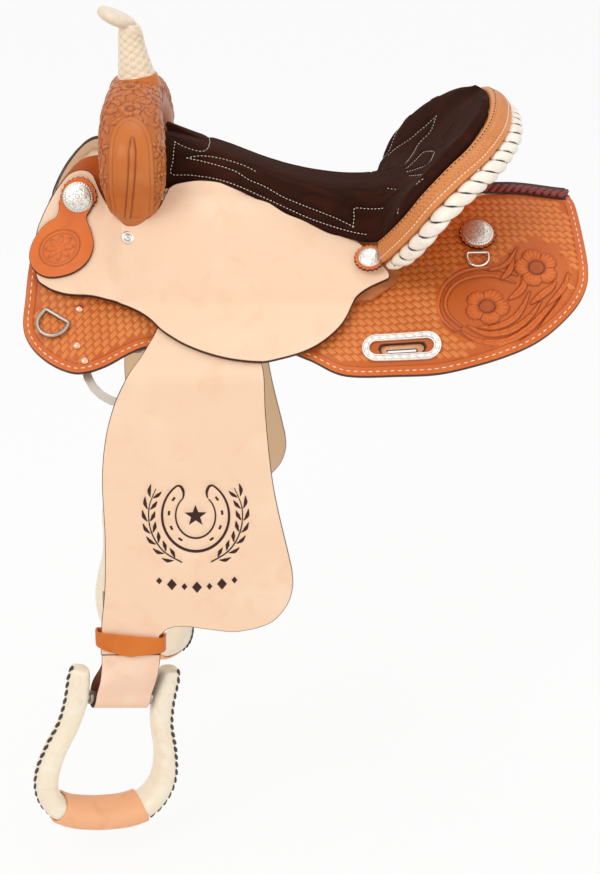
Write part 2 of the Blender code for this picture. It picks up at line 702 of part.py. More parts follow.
def build_hobble(side, name):
    """The strap that is buckled round the fender's tail, a flattened ring."""
    outer = ((-232, -8), (-229, 3.5), (-215, 6.8), (-192, 7.6), (-169, 6.8), (-156, 3.5), (-152, -8),
             (-158, -13), (-192, -14.5), (-226, -13))
    inner = ((-228.5, -8), (-227, 2.6), (-215, 4), (-192, 4.6), (-169, 4), (-157, 2.6), (-155.5, -8),
             (-160, -10), (-192, -11.5), (-224, -10))
    top, low = HOBBLE_TOP, HOBBLE_BOTTOM
    rows = [
        [fender_point(side, x, u, h) for x, h in ring]
        for u, ring in ((top, outer), (low, outer), (low, inner), (top, inner), (top, outer))
    ]
    return add_object("hobble_strap_" + name, to_mesh("hobble_strap_" + name, loft(rows, True)), "strap")


def build_buckle(side, name):
    outline = [(-222, 248), (-222, 286), (-160, 286), (-160, 248)]
    return panel("leather_buckle_" + name, side, outline, level(-FENDER / 2 - 4), level(-FENDER / 2 - GAP),
                 "steel", fender_point)


def build_neck(side, name):
    """The doubled strap under the hobble: it turns from the fender's plane to the stirrup's bolt."""
    stirrup = stirrup_frame(side)
    top = fender_point(side, -192, HOBBLE_BOTTOM + 0.6, 0)
    down = (fender_point(side, -192, HOBBLE_BOTTOM + 1, 0) - top).normalized()
    out = (fender_point(side, -192, HOBBLE_BOTTOM + 0.6, 1) - top).normalized()
    reach = (top - stirrup.translation).length / MM
    spread = SLEEVE_RADIUS + GAP + 2

    def place(x, depth, height):
        near = stirrup @ (Vector((x, side * depth, height)) * MM)
        far = top + Vector((x * MM, 0, 0)) + out * depth * MM + down * (reach - height) * MM
        return near.lerp(far, ease(8, reach, height))

    path = []
    for i in range(7):
        height = reach * (1 - i / 6)
        path.append((spread * (1 - ease(20, reach, height)) + 0.2, height))
    for i in range(1, 8):
        a = math.pi * i / 8
        path.append((spread * math.cos(a), -spread * math.sin(a)))
    for i in range(6, -1, -1):
        height = reach * (1 - i / 6)
        joined = ease(20, reach, height)
        path.append((-spread * (1 - joined) - 5 * joined, height))
    rows = []
    for k, (depth, height) in enumerate(path):
        before = Vector(path[max(k - 1, 0)])
        after = Vector(path[min(k + 1, len(path) - 1)])
        across = (after - before).normalized().orthogonal() * (FENDER / 2 - 0.1)
        if across.dot(Vector((depth, height if height < 0 else 0))) < 0:
            across = -across
        lift = 0 if height >= reach - 0.01 else across.y
        ring = []
        for x in (-STRAP_HALF, 0, STRAP_HALF):
            ring.append(place(x, depth + across.x, height + lift))
        for x in (STRAP_HALF, 0, -STRAP_HALF):
            ring.append(place(x, depth - across.x, height - lift))
        rows.append(ring)
    pivot = fender_point(side, -192, HOBBLE_BOTTOM, 0)
    add_object("stirrup_neck_" + name, to_mesh("stirrup_neck_" + name, loft(rows, True, True)), "pale", pivot)


def stirrup_rows(grow, first, last, steps):
    """Sections of the stirrup from one branch round the tread to the other."""
    count = len(STIRRUP) - 1
    rows = []
    for k in range(steps + 1):
        s = first + (last - first) * k / steps
        mirror = -1 if s <= count else 1
        place = s if s <= count else 2 * count - s
        x, z, wide, deep = spline(STIRRUP, place)
        after, before = spline(STIRRUP, min(place + 0.05, count)), spline(STIRRUP, max(place - 0.05, 0))
        ahead = (Vector(after[:2]) - Vector(before[:2])).normalized()
        if place > count - 0.06:
            ahead = Vector((-1, 0))
        side_way = Vector((-ahead.y, ahead.x))
        row = []
        for i in range(12):
            a = 2 * math.pi * i / 12
            c = math.copysign(abs(math.cos(a)) ** 0.75, math.cos(a))
            d = math.copysign(abs(math.sin(a)) ** 0.75, math.sin(a))
            p = Vector((x, z)) + side_way * c * (wide + grow)
            row.append(Vector((mirror * p.x, d * (deep + grow), p.y)) * MM)
        rows.append(row)
    return rows


def build_stirrup(side, name):
    frame = stirrup_frame(side)
    count = len(STIRRUP) - 1
    rows = stirrup_rows(0, 0, 2 * count, 24)
    body = add_object("stirrup_" + name, to_mesh("stirrup_" + name, loft(rows, True, True)), "rawhide")
    body.matrix_world = frame
    across = frame @ Matrix.Rotation(math.pi / 2, 4, "Y")
    hole = cutter("bolt_hole_" + name, rod(BOLT_RADIUS + GAP, 2 * BOLT_HALF + 2), across)
    carve(body, hole)
    outer = stirrup_rows(3.2, 8.2, 2 * count - 8.2, 10)
    inner = stirrup_rows(1, 8.2, 2 * count - 8.2, 10)
    tread = loft(outer + inner[::-1] + outer[:1], True)
    add_object("tread_cover_" + name, to_mesh("tread_cover_" + name, tread), "tan").matrix_world = frame
    b, r = BOLT_RADIUS, SLEEVE_RADIUS
    profile = [(0, BOLT_HALF), (b, BOLT_HALF), (b, 37), (r, 37), (r, -37), (b, -37), (b, -BOLT_HALF),
               (0, -BOLT_HALF)]
    turned("stirrup_bolt_" + name, profile, "steel", across, 16)


def main():
    clear_scene()
    build_bars()
    build_fork()
    build_horn()
    build_seat()
    build_cantle_roll()
    build_leather()
    build_skirt_lace()
    build_fittings()
    build_leathers()
    rounded = ("horn", "stirrup", "tread", "seat", "cantle", "swell")
    for obj in bpy.data.collections["saddle"].objects:
        if obj.type == "MESH" and obj.name.startswith(rounded):
            obj.data.shade_smooth()


main()
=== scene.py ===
"""Western barrel saddle, dressed in leather, rawhide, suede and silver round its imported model.

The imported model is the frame: every piece here sits where the model has its solid, in metres, with
+X to the tail, -Y to the saddle's left side and +Z up. Shapes are worked out in millimetres. Each
side of the saddle is a flat pattern bent over the horse: x runs along the horse, v down the slope
from the ridge, and h stands off the underside of the skirt, as in the source of the model.
"""

from __future__ import annotations

import json
import logging
import math
from dataclasses import dataclass, replace
from enum import Enum
from typing import Any, Callable, Sequence

import bmesh
import bpy
import numpy as np
from mathutils import Matrix, Vector
from mathutils.geometry import delaunay_2d_cdt
from mathutils.kdtree import KDTree

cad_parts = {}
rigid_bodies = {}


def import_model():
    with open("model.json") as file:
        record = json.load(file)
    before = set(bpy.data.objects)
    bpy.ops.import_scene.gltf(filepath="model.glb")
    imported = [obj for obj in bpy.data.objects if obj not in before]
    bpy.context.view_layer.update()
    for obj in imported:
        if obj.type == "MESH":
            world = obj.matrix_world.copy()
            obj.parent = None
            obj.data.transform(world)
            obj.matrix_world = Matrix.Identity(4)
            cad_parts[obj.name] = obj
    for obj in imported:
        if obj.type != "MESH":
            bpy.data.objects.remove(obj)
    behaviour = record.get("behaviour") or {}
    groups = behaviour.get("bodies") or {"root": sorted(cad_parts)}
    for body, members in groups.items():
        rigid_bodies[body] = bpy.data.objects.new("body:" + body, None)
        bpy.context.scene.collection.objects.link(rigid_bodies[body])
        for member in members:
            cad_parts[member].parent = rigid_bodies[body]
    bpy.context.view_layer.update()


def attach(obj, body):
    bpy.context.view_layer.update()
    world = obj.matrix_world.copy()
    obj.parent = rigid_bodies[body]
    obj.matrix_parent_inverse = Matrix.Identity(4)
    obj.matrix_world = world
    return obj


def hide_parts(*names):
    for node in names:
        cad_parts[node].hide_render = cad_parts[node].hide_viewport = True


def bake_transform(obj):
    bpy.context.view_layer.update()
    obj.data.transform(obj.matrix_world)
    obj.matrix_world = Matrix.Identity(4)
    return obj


LOG = logging.getLogger("saddle")
MM = 0.001
Points = np.ndarray
Pair = tuple[float, float]
Pairs = tuple[Pair, ...]
Tints = dict[str, Points]
Piece = bpy.types.Object
Socket = bpy.types.NodeSocket
Surface = Callable[[Points, Points], Points]
Place = Callable[["Side", Points, Points, Points], Points]

# The lie of the side: its slope, and the line |y|, z where v = 0
SLOPE = math.radians(42)
RIDGE_Y, RIDGE_Z = 15.0, 20.0

# Leather thicknesses and lifts, as in the model
SKIRT, FLEECE, JOCKEY, COVER, KEEPER, FENDER, FOAM = 5.0, 13.6, 3.5, 3.0, 3.5, 4.0, 8.0
FENDER_LIFT, BEND_V, HANG = 9.0, 214.0, math.radians(84)
HOBBLE_TOP, HOBBLE_BOTTOM = 299.0, 322.0
BOLT = (-207.0, 209.0, -494.0)
SLEEVE_RADIUS, GAP = 8.0, 0.4
# The cinch slot's plate: middle x, v, length and width
PLATE = (112.0, 178.0, 87.0, 33.0)


class Side(Enum):
    """Which side of the saddle a piece is on. The value is the sign of Y."""

    LEFT = -1
    RIGHT = 1

    @property
    def word(self) -> str:
        """The side's name as the model's nodes have it."""
        return self.name.lower()


STIRRUP_TURN = {Side.LEFT: math.radians(20), Side.RIGHT: math.radians(42)}
STIRRUP_TILT = {Side.LEFT: math.radians(12), Side.RIGHT: math.radians(-1)}

# Pattern pieces as x, v pairs. A third value marks a sharp corner.
SKIRT_OUTLINE = (
    (-218, -28, 1), (-234, -23), (-247, -15), (-262, 1), (-276, 22), (-288, 52), (-297, 78),
    (-301, 108), (-303, 147), (-294, 171), (-274, 191), (-249, 205), (-232, 206), (-212, 197),
    (-185, 180), (-161, 172), (-100, 171), (-30, 175), (10, 190), (49, 210), (109, 211),
    (164, 209), (218, 196), (263, 176), (298, 146), (317, 118), (324, 88), (323, 38),
    (319, -6), (313, -19, 1), (240, -19), (205, -14), (170, 12), (120, 18), (0, 18), (-100, 12),
    (-180, -8),
)
FLEECE_OUTLINE = (
    (-216, -20, 1), (-234, -15), (-252, 0), (-268, 22), (-281, 52), (-290, 80), (-294, 108),
    (-296, 147), (-288, 163), (-270, 172), (-249, 167), (-232, 162), (-212, 160), (-185, 159),
    (-161, 160), (-100, 164), (-30, 168), (12, 184), (49, 203), (75, 204, 1), (79, 167, 1),
    (147, 167, 1), (151, 203, 1), (163, 202),
    (215, 190), (259, 170), (292, 142), (310, 115), (317, 86), (316, 40), (313, 8, 1),
    (240, 4), (170, 18), (120, 24), (0, 24), (-100, 18), (-180, 0),
)
JOCKEY_OUTLINE = (
    (-289, 57), (-282, 37), (-270, 17), (-260, 5), (-251, -3), (-240, -6), (-230, -5), (-224, -1),
    (-220, 7), (-216, 15), (-207, 29), (-197, 44), (-190, 53), (-184, 55), (-174, 53), (-160, 45),
    (-151, 34), (-145, 17), (-143, 10, 1), (-135, 5), (-122, 2), (-108, 0), (-91, 0), (-78, 2),
    (-61, 7), (-38, 16), (-15, 31), (8, 37), (36, 48), (61, 51), (78, 68), (91, 84), (98, 92),
    (101, 98), (100, 103), (94, 106), (80, 112), (68, 119), (61, 126), (54, 142), (44, 158),
    (25, 176), (2, 189), (-32, 199), (-45, 200), (-65, 198), (-84, 194), (-105, 187), (-126, 177),
    (-141, 167), (-152, 158), (-165, 144), (-181, 133), (-202, 124), (-223, 119), (-245, 117),
    (-261, 114), (-278, 107), (-289, 95),
)
KEEPER_OUTLINE = (
    (-241, 3), (-255, 9), (-261, 23), (-265, 38), (-278, 46), (-291, 61), (-296, 77),
    (-291, 91), (-275, 99), (-250, 96), (-233, 86), (-225, 70), (-227, 55), (-232, 42),
    (-227, 33), (-221, 20), (-228, 7),
)
FENDER_TOP_OUTLINE = (
    (-187, 213, 1), (-173, 190), (-160, 165), (-152, 148), (-137, 136), (-112, 131),
    (-87, 136), (-72, 148), (-55, 165), (-44, 190), (-39, 213, 1),
)
FENDER_OUTLINE = (
    (-188, 1, 1), (-202, 30), (-213, 70), (-218, 118), (-217, 180), (-219, 240), (-224, 285),
    (-226, 322, 1), (-159, 322, 1), (-159, 300, 1), (-148, 291), (-130, 289), (-103, 293),
    (-71, 296), (-36, 287), (-17, 268), (-9, 246), (-9, 226), (-13, 205), (-29, 128), (-37, 50),
    (-39, 1, 1),
)
# Seat stations from the fork to the top of the cantle: centre x z, near edge x y z, edge power
SEAT = (
    (-147, 119, -147, 58, 62, 8), (-113, 107, -113, 59, 70, 5), (-75, 95, -75, 64, 66, 3.5),
    (-30, 77, -30, 70, 47, 3.5), (15, 64, 15, 75, 25, 4), (60, 58, 60, 79, 9, 4.2),
    (98, 60, 86, 88, 9, 3.6), (125, 68, 98, 112, 28, 3), (148, 82, 114, 134, 53, 2.6),
    (168, 100, 131, 145, 79, 2.3), (183, 119, 156, 138, 105, 2.1), (195, 135, 180, 117, 123, 2),
    (206, 148, 201, 80, 141, 2), (212, 158, 210, 42, 154, 2),
)
# Fork arch from the crown to the foot: outer y z, inner y z, middle x, half length in x
ARCH = (
    (0, 176, 0, 132, -180, 29), (38, 174, 32, 127, -180, 31), (80, 166, 56, 113, -180, 34),
    (116, 148, 70, 94, -179, 36), (140, 122, 77, 79, -178, 36), (143, 96, 78, 67, -178, 35),
    (129, 71, 76, 58, -179, 31), (112, 47, 76, 48, -180, 26), (104, 27, 84, 38, -181, 16),
    (100, 15, 80, 25, -182, 11),
)
# Stirrup half, from the crown of a branch to the middle of the tread: x z, half width, half depth
STIRRUP = (
    (54, 38, 7, 9), (54, 34, 11, 12), (53, 20, 12.5, 13.5), (52, -4, 13, 14), (56, -34, 12, 14.5),
    (66, -66, 12, 16), (71, -95, 13, 18), (68, -118, 13, 20), (55, -138, 12.5, 22),
    (32, -148, 12, 23), (0, -151, 12, 23),
)


# ---------------------------------------------------------------------------------------------
# The lie of the leather
# ---------------------------------------------------------------------------------------------


def ease(low: float, high: float, value: Any) -> Any:
    """A smooth step, for numbers or arrays.

    Args:
        low: where the step starts, at 0.
        high: where it ends, at 1.
        value: the number or array to place on it.

    Returns:
        0 to 1, of the same shape as value.
    """
    t = np.clip((np.asarray(value, float) - low) / (high - low), 0, 1)
    return t * t * (3 - 2 * t)


def bell(value: Any, width: float) -> Any:
    """A rounded bump: 1 where the value is 0, and almost gone at twice the width."""
    return np.exp(-((value / width) ** 2))


def boxed(value: Points) -> Points:
    """A sine or cosine swollen a little, for sections between an ellipse and a box."""
    return np.sign(value) * np.abs(value) ** 0.8


def turns(count: int) -> Points:
    """Angles once round, in equal steps."""
    return np.linspace(0, math.tau, count, endpoint=False)


def unit(rows: Points) -> Points:
    """Directions brought to length 1."""
    return rows / np.maximum(np.linalg.norm(rows, axis=-1, keepdims=True), 1e-9)


def skirt_rise(x: Points, v: Points) -> Points:
    """How far the skirt's underside stands off the flat side: flared at the front and rear."""
    front, rear = ease(40, 235, -x), ease(60, 200, x)
    rise = front * 76 * np.maximum(0, (125 - v) / 151) ** 1.3 + 5 * ease(200, 240, -x) + 16.5 * rear
    rise = rise - (1 - front) * (1 - 0.6 * rear) * np.maximum(0, 120 - v) ** 2 / 1000
    rise = rise - 7 * ease(240, 325, x) * (1 - ease(0, 120, v))
    return (rise
            - np.maximum(ease(60, 160, x), ease(230, 290, -x)) * np.maximum(0, v - 120) ** 2 / 800)


def bar_bulge(x: Points, v: Points, rear: Pair = (90, 165)) -> Points:
    """How the leather over the tree bar swells, and between which x it dies away to the rear."""
    lens = np.maximum(0, 1 - ((v - 70) / 55) ** 2)
    return 21.6 * ease(-215, -190, x) * (1 - ease(*rear, x)) * lens**0.7


def jockey_under(x: Points, v: Points) -> Points:
    """Height of the seat jockey's underside: over the bar and leathers, raised to the seat."""
    lift = 14.5 - 4 * ease(215, 270, -x) - 3.5 * ease(60, 110, x)
    seat = 55 * ease(-215, -75, x) * (1 - ease(-75, 85, x)) * (1 - ease(5, 130, v))
    foot = 6.5 * bell(x + 178, 36) * bell(v - 48, 26)
    return lift + 0.778 * bar_bulge(x, v) + seat + foot


def jockey_top(x: Points, v: Points) -> Points:
    """Height of the seat jockey's face."""
    return jockey_under(x, v) + JOCKEY


def bar_top(x: Points, v: Points) -> Points:
    """Height of the tree bar's face, under the stirrup leather."""
    return SKIRT + GAP + bar_bulge(x, v, (62, 122))


def level(height: float) -> Surface:
    """A surface that keeps one height above the skirt's underside."""
    return lambda x, v: np.full(np.shape(x), height, float)


def on_flat(side: Side, x: Points, v: Points, h: Points) -> Points:
    """Points over the flat middle of the side, which the swinging leathers keep to."""
    y = RIDGE_Y + v * math.cos(SLOPE) + h * math.sin(SLOPE)
    z = RIDGE_Z - v * math.sin(SLOPE) + h * math.cos(SLOPE)
    return np.stack([x + 0 * y, side.value * y, z], axis=-1)


def on_side(side: Side, x: Points, v: Points, h: Points) -> Points:
    """Points in millimetres, h above the skirt's underside at x, v."""
    return on_flat(side, x, v, skirt_rise(x, v) + h)


def on_fender(side: Side, x: Points, u: Points, h: Points) -> Points:
    """Points on the hanging fender, u below its bend and h outward from its middle."""
    y = u * math.cos(HANG) + h * math.sin(HANG)
    z = h * math.cos(HANG) - u * math.sin(HANG)
    bend = on_flat(side, 0, BEND_V, FENDER_LIFT + FENDER / 2)
    return bend + np.stack([x + 0 * y, side.value * y, z], axis=-1)


def spot(side: Side, x: float, v: float, h: float, place: Place = on_side) -> Vector:
    """One point of a placement, in millimetres."""
    return Vector(place(side, np.array(float(x)), np.array(float(v)), np.array(float(h))))


def side_frame(side: Side, x: float, v: float, h: float, turn: float = 0) -> Matrix:
    """A placement on a leather, in millimetres: X along the horse, Y up the slope, Z outward.

    Args:
        side: the saddle's side.
        x: place along the horse.
        v: place down the slope.
        h: height above the skirt's underside.
        turn: turn about Z in radians, mirrored from side to side.

    Returns:
        The matrix. Its X points to the tail on the left side and to the head on the right.
    """
    at = spot(side, x, v, h)
    along = (spot(side, x + 4, v, h) - spot(side, x - 4, v, h)).normalized()
    up = (spot(side, x, v - 4, h) - spot(side, x, v + 4, h)).normalized()
    out = along.cross(up).normalized()
    if out.dot(Vector((0, side.value, 0.2))) < 0:
        out, along = -out, -along
    axes = Matrix((along, out.cross(along), out)).transposed().to_4x4()
    return Matrix.Translation(at) @ axes @ Matrix.Rotation(-side.value * turn, 4, "Z")


# ---------------------------------------------------------------------------------------------
# Lines and patterns
# ---------------------------------------------------------------------------------------------


def spline(values: Sequence[Sequence[float]], s: Any) -> Points:
    """Catmull-Rom through rows of numbers.

    Args:
        values: the rows.
        s: positions counted in rows.

    Returns:
        One row of numbers for each position.
    """
    rows = np.asarray(values, float)
    s = np.asarray(s, float)
    i = np.clip(s.astype(int), 0, len(rows) - 2)
    t = (s - i)[..., None]
    a, b, c, d = (rows[np.clip(i + k, 0, len(rows) - 1)] for k in (-1, 0, 1, 2))
    cubic = 3 * b - a - 3 * c + d
    return 0.5 * (2 * b + (c - a) * t + (2 * a - 5 * b + 4 * c - d) * t**2 + cubic * t**3)


def run_along(line: Points) -> Points:
    """How far each point of a line lies from its start, along it."""
    return np.concatenate([[0], np.cumsum(np.linalg.norm(np.diff(line, axis=0), axis=1))])


def headings(line: Points, closed: bool = False) -> Points:
    """The line's direction at each of its points."""
    return unit(np.roll(line, -1, axis=0) - np.roll(line, 1, axis=0)
                if closed else np.gradient(line, axis=0))


def normals(line: Points, closed: bool = False) -> Points:
    """Directions to the left of a flat line at each of its points."""
    way = headings(line, closed)
    return np.stack([-way[:, 1], way[:, 0]], axis=1)


def smooth_line(points: Sequence[Sequence[float]], step: float) -> Points:
    """A smooth open line through points, in steps of about the given length."""
    rows = np.asarray(points, float)
    total = np.linalg.norm(np.diff(rows, axis=0), axis=1).sum()
    count = max(2, int(total / step) + 1)
    return spline(rows, np.linspace(0, len(rows) - 1, count))


def smooth_outline(points: Sequence[Sequence[float]], step: float) -> Points:
    """A closed outline rounded between its points, in steps of about the given length."""
    out = []
    count = len(points)
    for i in range(count):
        a, b, c, d = (points[(i + k) % count] for k in (-1, 0, 1, 2))
        a = b if len(b) > 2 else a
        d = c if len(c) > 2 else d
        steps = max(1, round(math.dist(b[:2], c[:2]) / step))
        rows = [a[:2], b[:2], c[:2], d[:2]]
        out.extend(spline(rows, 1 + np.arange(steps) / steps))
    return np.array(out)


def scalloped(centre: Sequence[float], radius: float, count: int, depth: float) -> Points:
    """A round outline with shallow scallops."""
    a = turns(count * 8)
    r = radius - depth * (1 - np.abs(np.sin(a * count / 2)) ** 0.7)
    return np.stack([centre[0] + r * np.cos(a), centre[1] + r * np.sin(a)], axis=1)


def nearest(points: Points, line: Points, closed: bool = False) -> tuple[Points, Points, Points]:
    """How points lie to a line.

    Args:
        points: rows of x, y or x, y, z.
        line: the line's corners.
        closed: whether its end joins its start.

    Returns:
        The distance, the place along the line from 0 to 1, and in two dimensions the signed
        distance to its left.
    """
    start = line if closed else line[:-1]
    step = (np.roll(line, -1, axis=0) - line) if closed else np.diff(line, axis=0)
    length = np.linalg.norm(step, axis=1)
    run = np.concatenate([[0], np.cumsum(length)])
    best = np.full(len(points), 1e9)
    along = np.zeros(len(points))
    signed = np.zeros(len(points))
    for low in range(0, len(points), 20000):
        part = points[low : low + 20000]
        gap = part[:, None, :] - start[None]
        t = np.clip((gap * step).sum(2) / np.maximum(length**2, 1e-9), 0, 1)
        off = gap - t[..., None] * step
        size = np.linalg.norm(off, axis=2)
        k = size.argmin(1)
        row = np.arange(len(part))
        best[low : low + 20000] = size[row, k]
        along[low : low + 20000] = (run[k] + t[row, k] * length[k]) / run[-1]
        if points.shape[1] == 2:
            turn = step[k, 0] * off[row, k, 1] - step[k, 1] * off[row, k, 0]
            signed[low : low + 20000] = np.where(turn < 0, -1, 1) * size[row, k]
    return best, along, signed


def inside(points: Points, outline: Points) -> Points:
    """Which points lie inside a closed outline."""
    held = np.zeros(len(points), bool)
    x, y = points[:, 0], points[:, 1]
    for (ax, ay), (bx, by) in zip(outline, np.roll(outline, -1, axis=0)):
        if ay == by:
            continue
        cross = ((ay > y) != (by > y)) & (x < (bx - ax) * (y - ay) / (by - ay) + ax)
        held ^= cross
    return held


def far_from(points: Points, others: Points, distance: float) -> Points:
    """Which points have no other point within a distance."""
    tree = KDTree(len(others))
    for i, other in enumerate(others):
        tree.insert((other[0], other[1], 0), i)
    tree.balance()
    return np.array([tree.find((p[0], p[1], 0))[2] > distance for p in points], bool)


def parallel(outline: Points, distance: float) -> Points:
    """A closed outline moved inward by a distance, or outward where it is negative."""
    x, y = outline.T
    area = (x * np.roll(y, -1) - np.roll(x, -1) * y).sum()
    return outline + normals(outline, True) * math.copysign(distance, area * distance)


def inset(outline: Points, distance: float) -> Points:
    """The part of a parallel line inside an outline that really keeps its distance, in order."""
    line = parallel(outline, distance)
    return line[nearest(line, outline, True)[0] > distance * 0.97 - 0.02]


def points_within(outline: Points, step: float, low: Sequence[float],
                  high: Sequence[float]) -> Points:
    """The points of a square grid from low to high that lie inside an outline."""
    grid = np.stack(np.meshgrid(*(np.arange(a, b, step) for a, b in zip(low, high))),
                    axis=-1).reshape(-1, 2)
    return grid[inside(grid, outline)]


def stadium(x0: float, x1: float, middle: float, half: float, turn: int, step: float) -> Points:
    """A closed outline with round ends.

    Args:
        x0: its lowest x.
        x1: its highest x.
        middle: the v of its long axis.
        half: half its width.
        turn: degrees between the corners of its ends.
        step: steps of the outline.

    Returns:
        Rows of x and v.
    """
    a = np.radians(np.arange(-90, 91, turn))
    ends = [np.stack([x + s * half * np.cos(a), middle + s * half * np.sin(a)], axis=1)
            for s, x in ((1, x1 - half), (-1, x0 + half))]
    return smooth_outline([(*p, 1) for p in np.concatenate(ends)], step)


# ---------------------------------------------------------------------------------------------
# Carving and stamping
# ---------------------------------------------------------------------------------------------


@dataclass(frozen=True)
class Flower:
    """A carved flower: scalloped petals round a seeded centre."""

    centre: Pair
    radius: float
    petals: int = 5
    turn: float = 0.0
    stretch: float = 1.0

    def press(self, p: Points) -> tuple[Points, Points, Points]:
        """The flower's cut.

        Args:
            p: points of the pattern, in millimetres.

        Returns:
            The distance outside its edge, its height and how deep its tint is.
        """
        q = (p - np.array(self.centre)) / np.array([1.0, self.stretch])
        r = np.hypot(q[:, 0], q[:, 1]) / self.radius
        a = np.arctan2(q[:, 1], q[:, 0]) + self.turn
        half = a * self.petals / 2
        rim = 0.72 + 0.26 * np.abs(np.sin(half)) ** 0.6 + 0.035 * np.abs(np.cos(half * 5))
        petal = r / rim
        height = 0.25 + 0.75 * ease(0.3, 0.95, petal) - 0.7 * ease(0.9, 1.0, petal)
        seam = np.abs(np.sin(half)) * r * self.radius
        cut = bell(seam, 1.1) * ease(0.32, 0.42, r)
        veins = (np.maximum(0, np.cos(a * self.petals * 5)) ** 4 * ease(0.4, 0.75, petal)
                 * (petal < 0.92))
        height -= 0.8 * cut + 0.3 * veins
        deep = (0.8 * cut + 0.5 * veins + 0.6 * (1 - ease(0.36, 0.66, petal))
                + 0.3 * ease(0.86, 1.0, petal))
        seeds = np.cos(q[:, 0] * 3.2) * np.cos(q[:, 1] * 3.2 + q[:, 0] * 1.1)
        core = r < 0.34
        height = np.where(core, 0.75 - 1.6 * r**2 + 0.35 * seeds, height)
        deep = np.where(core, 0.55 - 0.45 * seeds, deep)
        ring = bell((r - 0.36) * self.radius, 0.8)
        # A row of small round tool marks follows the rim
        beads = bell((petal - 0.86) * self.radius, 1.1) * np.maximum(0, np.cos(a * 26)) ** 2
        return ((petal - 1) * self.radius, height - 0.8 * ring - 0.4 * beads,
                deep + 0.8 * ring + 0.6 * beads)


@dataclass(frozen=True)
class Leaf:
    """A carved leaf, stem or scroll that follows a line. Its width swells at one place."""

    line: Pairs
    width: float
    swell: float = 0.45
    least: float = 0.15
    veins: float = 0.0

    def press(self, p: Points) -> tuple[Points, Points, Points]:
        """The leaf's cut, as Flower.press gives it."""
        away, along, signed = nearest(p, smooth_line(self.line, 1.5))
        bend = along ** (math.log(0.5) / math.log(self.swell))
        half = self.width / 2 * (self.least + (1 - self.least) * np.sin(math.pi * bend) ** 0.8)
        share = away / np.maximum(half, 0.05)
        height = 0.85 * np.sqrt(np.maximum(0, 1 - np.minimum(share, 1) ** 3))
        rib = bell(away, 0.5) * (half > 2.2)
        height -= 0.5 * rib
        deep = 0.5 * rib
        if self.veins:
            phase = (along * self.veins - np.abs(signed) / self.width) * math.tau
            comb = np.maximum(0, np.cos(phase)) ** 4 * ease(0.15, 0.5, share)
            height -= 0.35 * comb
            deep = deep + 0.4 * comb
        return away - half, height, deep


def carve(p: Points, shapes: Sequence[Flower | Leaf],
          ground: float) -> tuple[Points, Points, Points]:
    """Carving of several shapes, each cut over those before it.

    Args:
        p: points of the pattern.
        shapes: the shapes, from the back to the front.
        ground: height of the matted ground between them.

    Returns:
        The height, the tint of the crevices, and the distance outside all shapes.
    """
    height = np.full(len(p), ground)
    deep = np.full(len(p), 0.3)
    outside = np.full(len(p), 1e3)
    for shape in shapes:
        gap, high, tint = shape.press(p)
        # Round each shape the ground dips and is darkened: painted shade of its undercut edge
        rim = bell(gap, 1.5) * (gap > 0)
        height = np.where(gap <= 0, high, height - 0.45 * rim)
        deep = np.where(gap <= 0, tint, np.maximum(deep, 0.95 * rim))
        deep = np.maximum(deep, 0.6 * bell(gap, 0.5) * (gap <= 0))
        outside = np.minimum(outside, gap)
    return height, np.clip(deep, 0, 1), outside


# ---------------------------------------------------------------------------------------------
# Meshes
# ---------------------------------------------------------------------------------------------


def linked(name: str, data: bpy.types.ID) -> Piece:
    """A new object in the scene that holds a mesh, lamp or camera."""
    obj = bpy.data.objects.new(name, data)
    bpy.context.scene.collection.objects.link(obj)
    return obj


def mesh_object(name: str, points: Points, faces: Sequence[Sequence[int]],
                tints: Tints | None = None) -> Piece:
    """A new object from points in millimetres.

    Args:
        name: the piece's name.
        points: rows of x, y, z in millimetres.
        faces: corner numbers of each face.
        tints: one number for each point, by attribute name, for the materials.

    Returns:
        The object, at the origin, with its place in its mesh.
    """
    mesh = bpy.data.meshes.new(name)
    mesh.from_pydata((np.asarray(points) * MM).tolist(), [], [list(map(int, f)) for f in faces])
    for key, values in (tints or {}).items():
        layer = mesh.attributes.new(key, "FLOAT", "POINT")
        layer.data.foreach_set("value", np.asarray(values, np.float32))
    mesh.polygons.foreach_set("use_smooth", [True] * len(mesh.polygons))
    mesh.update()
    return linked(name, mesh)


def face_out(obj: Piece, weld: float = 0.0) -> Piece:
    """Turns a closed mesh's faces outward, after welding points closer than some millimetres."""
    bm = bmesh.new()
    bm.from_mesh(obj.data)
    if weld:
        bmesh.ops.remove_doubles(bm, verts=bm.verts, dist=weld * MM)
    bmesh.ops.recalc_face_normals(bm, faces=bm.faces)
    if bm.calc_volume(signed=True) < 0:
        bmesh.ops.reverse_faces(bm, faces=bm.faces)
    bm.to_mesh(obj.data)
    bm.free()
    return obj


def loft(name: str, rows: Points, tints: Tints | None = None, loop: bool = False) -> Piece:
    """Skin over closed rows of points.

    Args:
        name: the piece's name.
        rows: an array of rows, points and x, y, z in millimetres.
        tints: arrays of one number for each row and point, for the materials.
        loop: whether the last row joins the first. Otherwise both are filled.

    Returns:
        The object, with its faces outward.
    """
    count, wide = rows.shape[:2]
    faces = []
    for i in range(count if loop else count - 1):
        a, b = i * wide, (i + 1) % count * wide
        for j in range(wide):
            k = (j + 1) % wide
            faces.append((a + j, a + k, b + k, b + j))
    points = rows.reshape(-1, 3)
    flat = {key: np.asarray(values).reshape(-1) for key, values in (tints or {}).items()}
    if not loop:
        for row, turn in ((0, 1), (count - 1, -1)):
            ids = [row * wide + j for j in range(wide)]
            middle = len(points)
            points = np.concatenate([points, rows[row].mean(0, keepdims=True)])
            flat = {key: np.append(values, values[row * wide]) for key, values in flat.items()}
            faces.extend([(middle, ids[(j + 1) % wide], ids[j])[::turn] for j in range(wide)])
    return face_out(mesh_object(name, points, faces, flat))


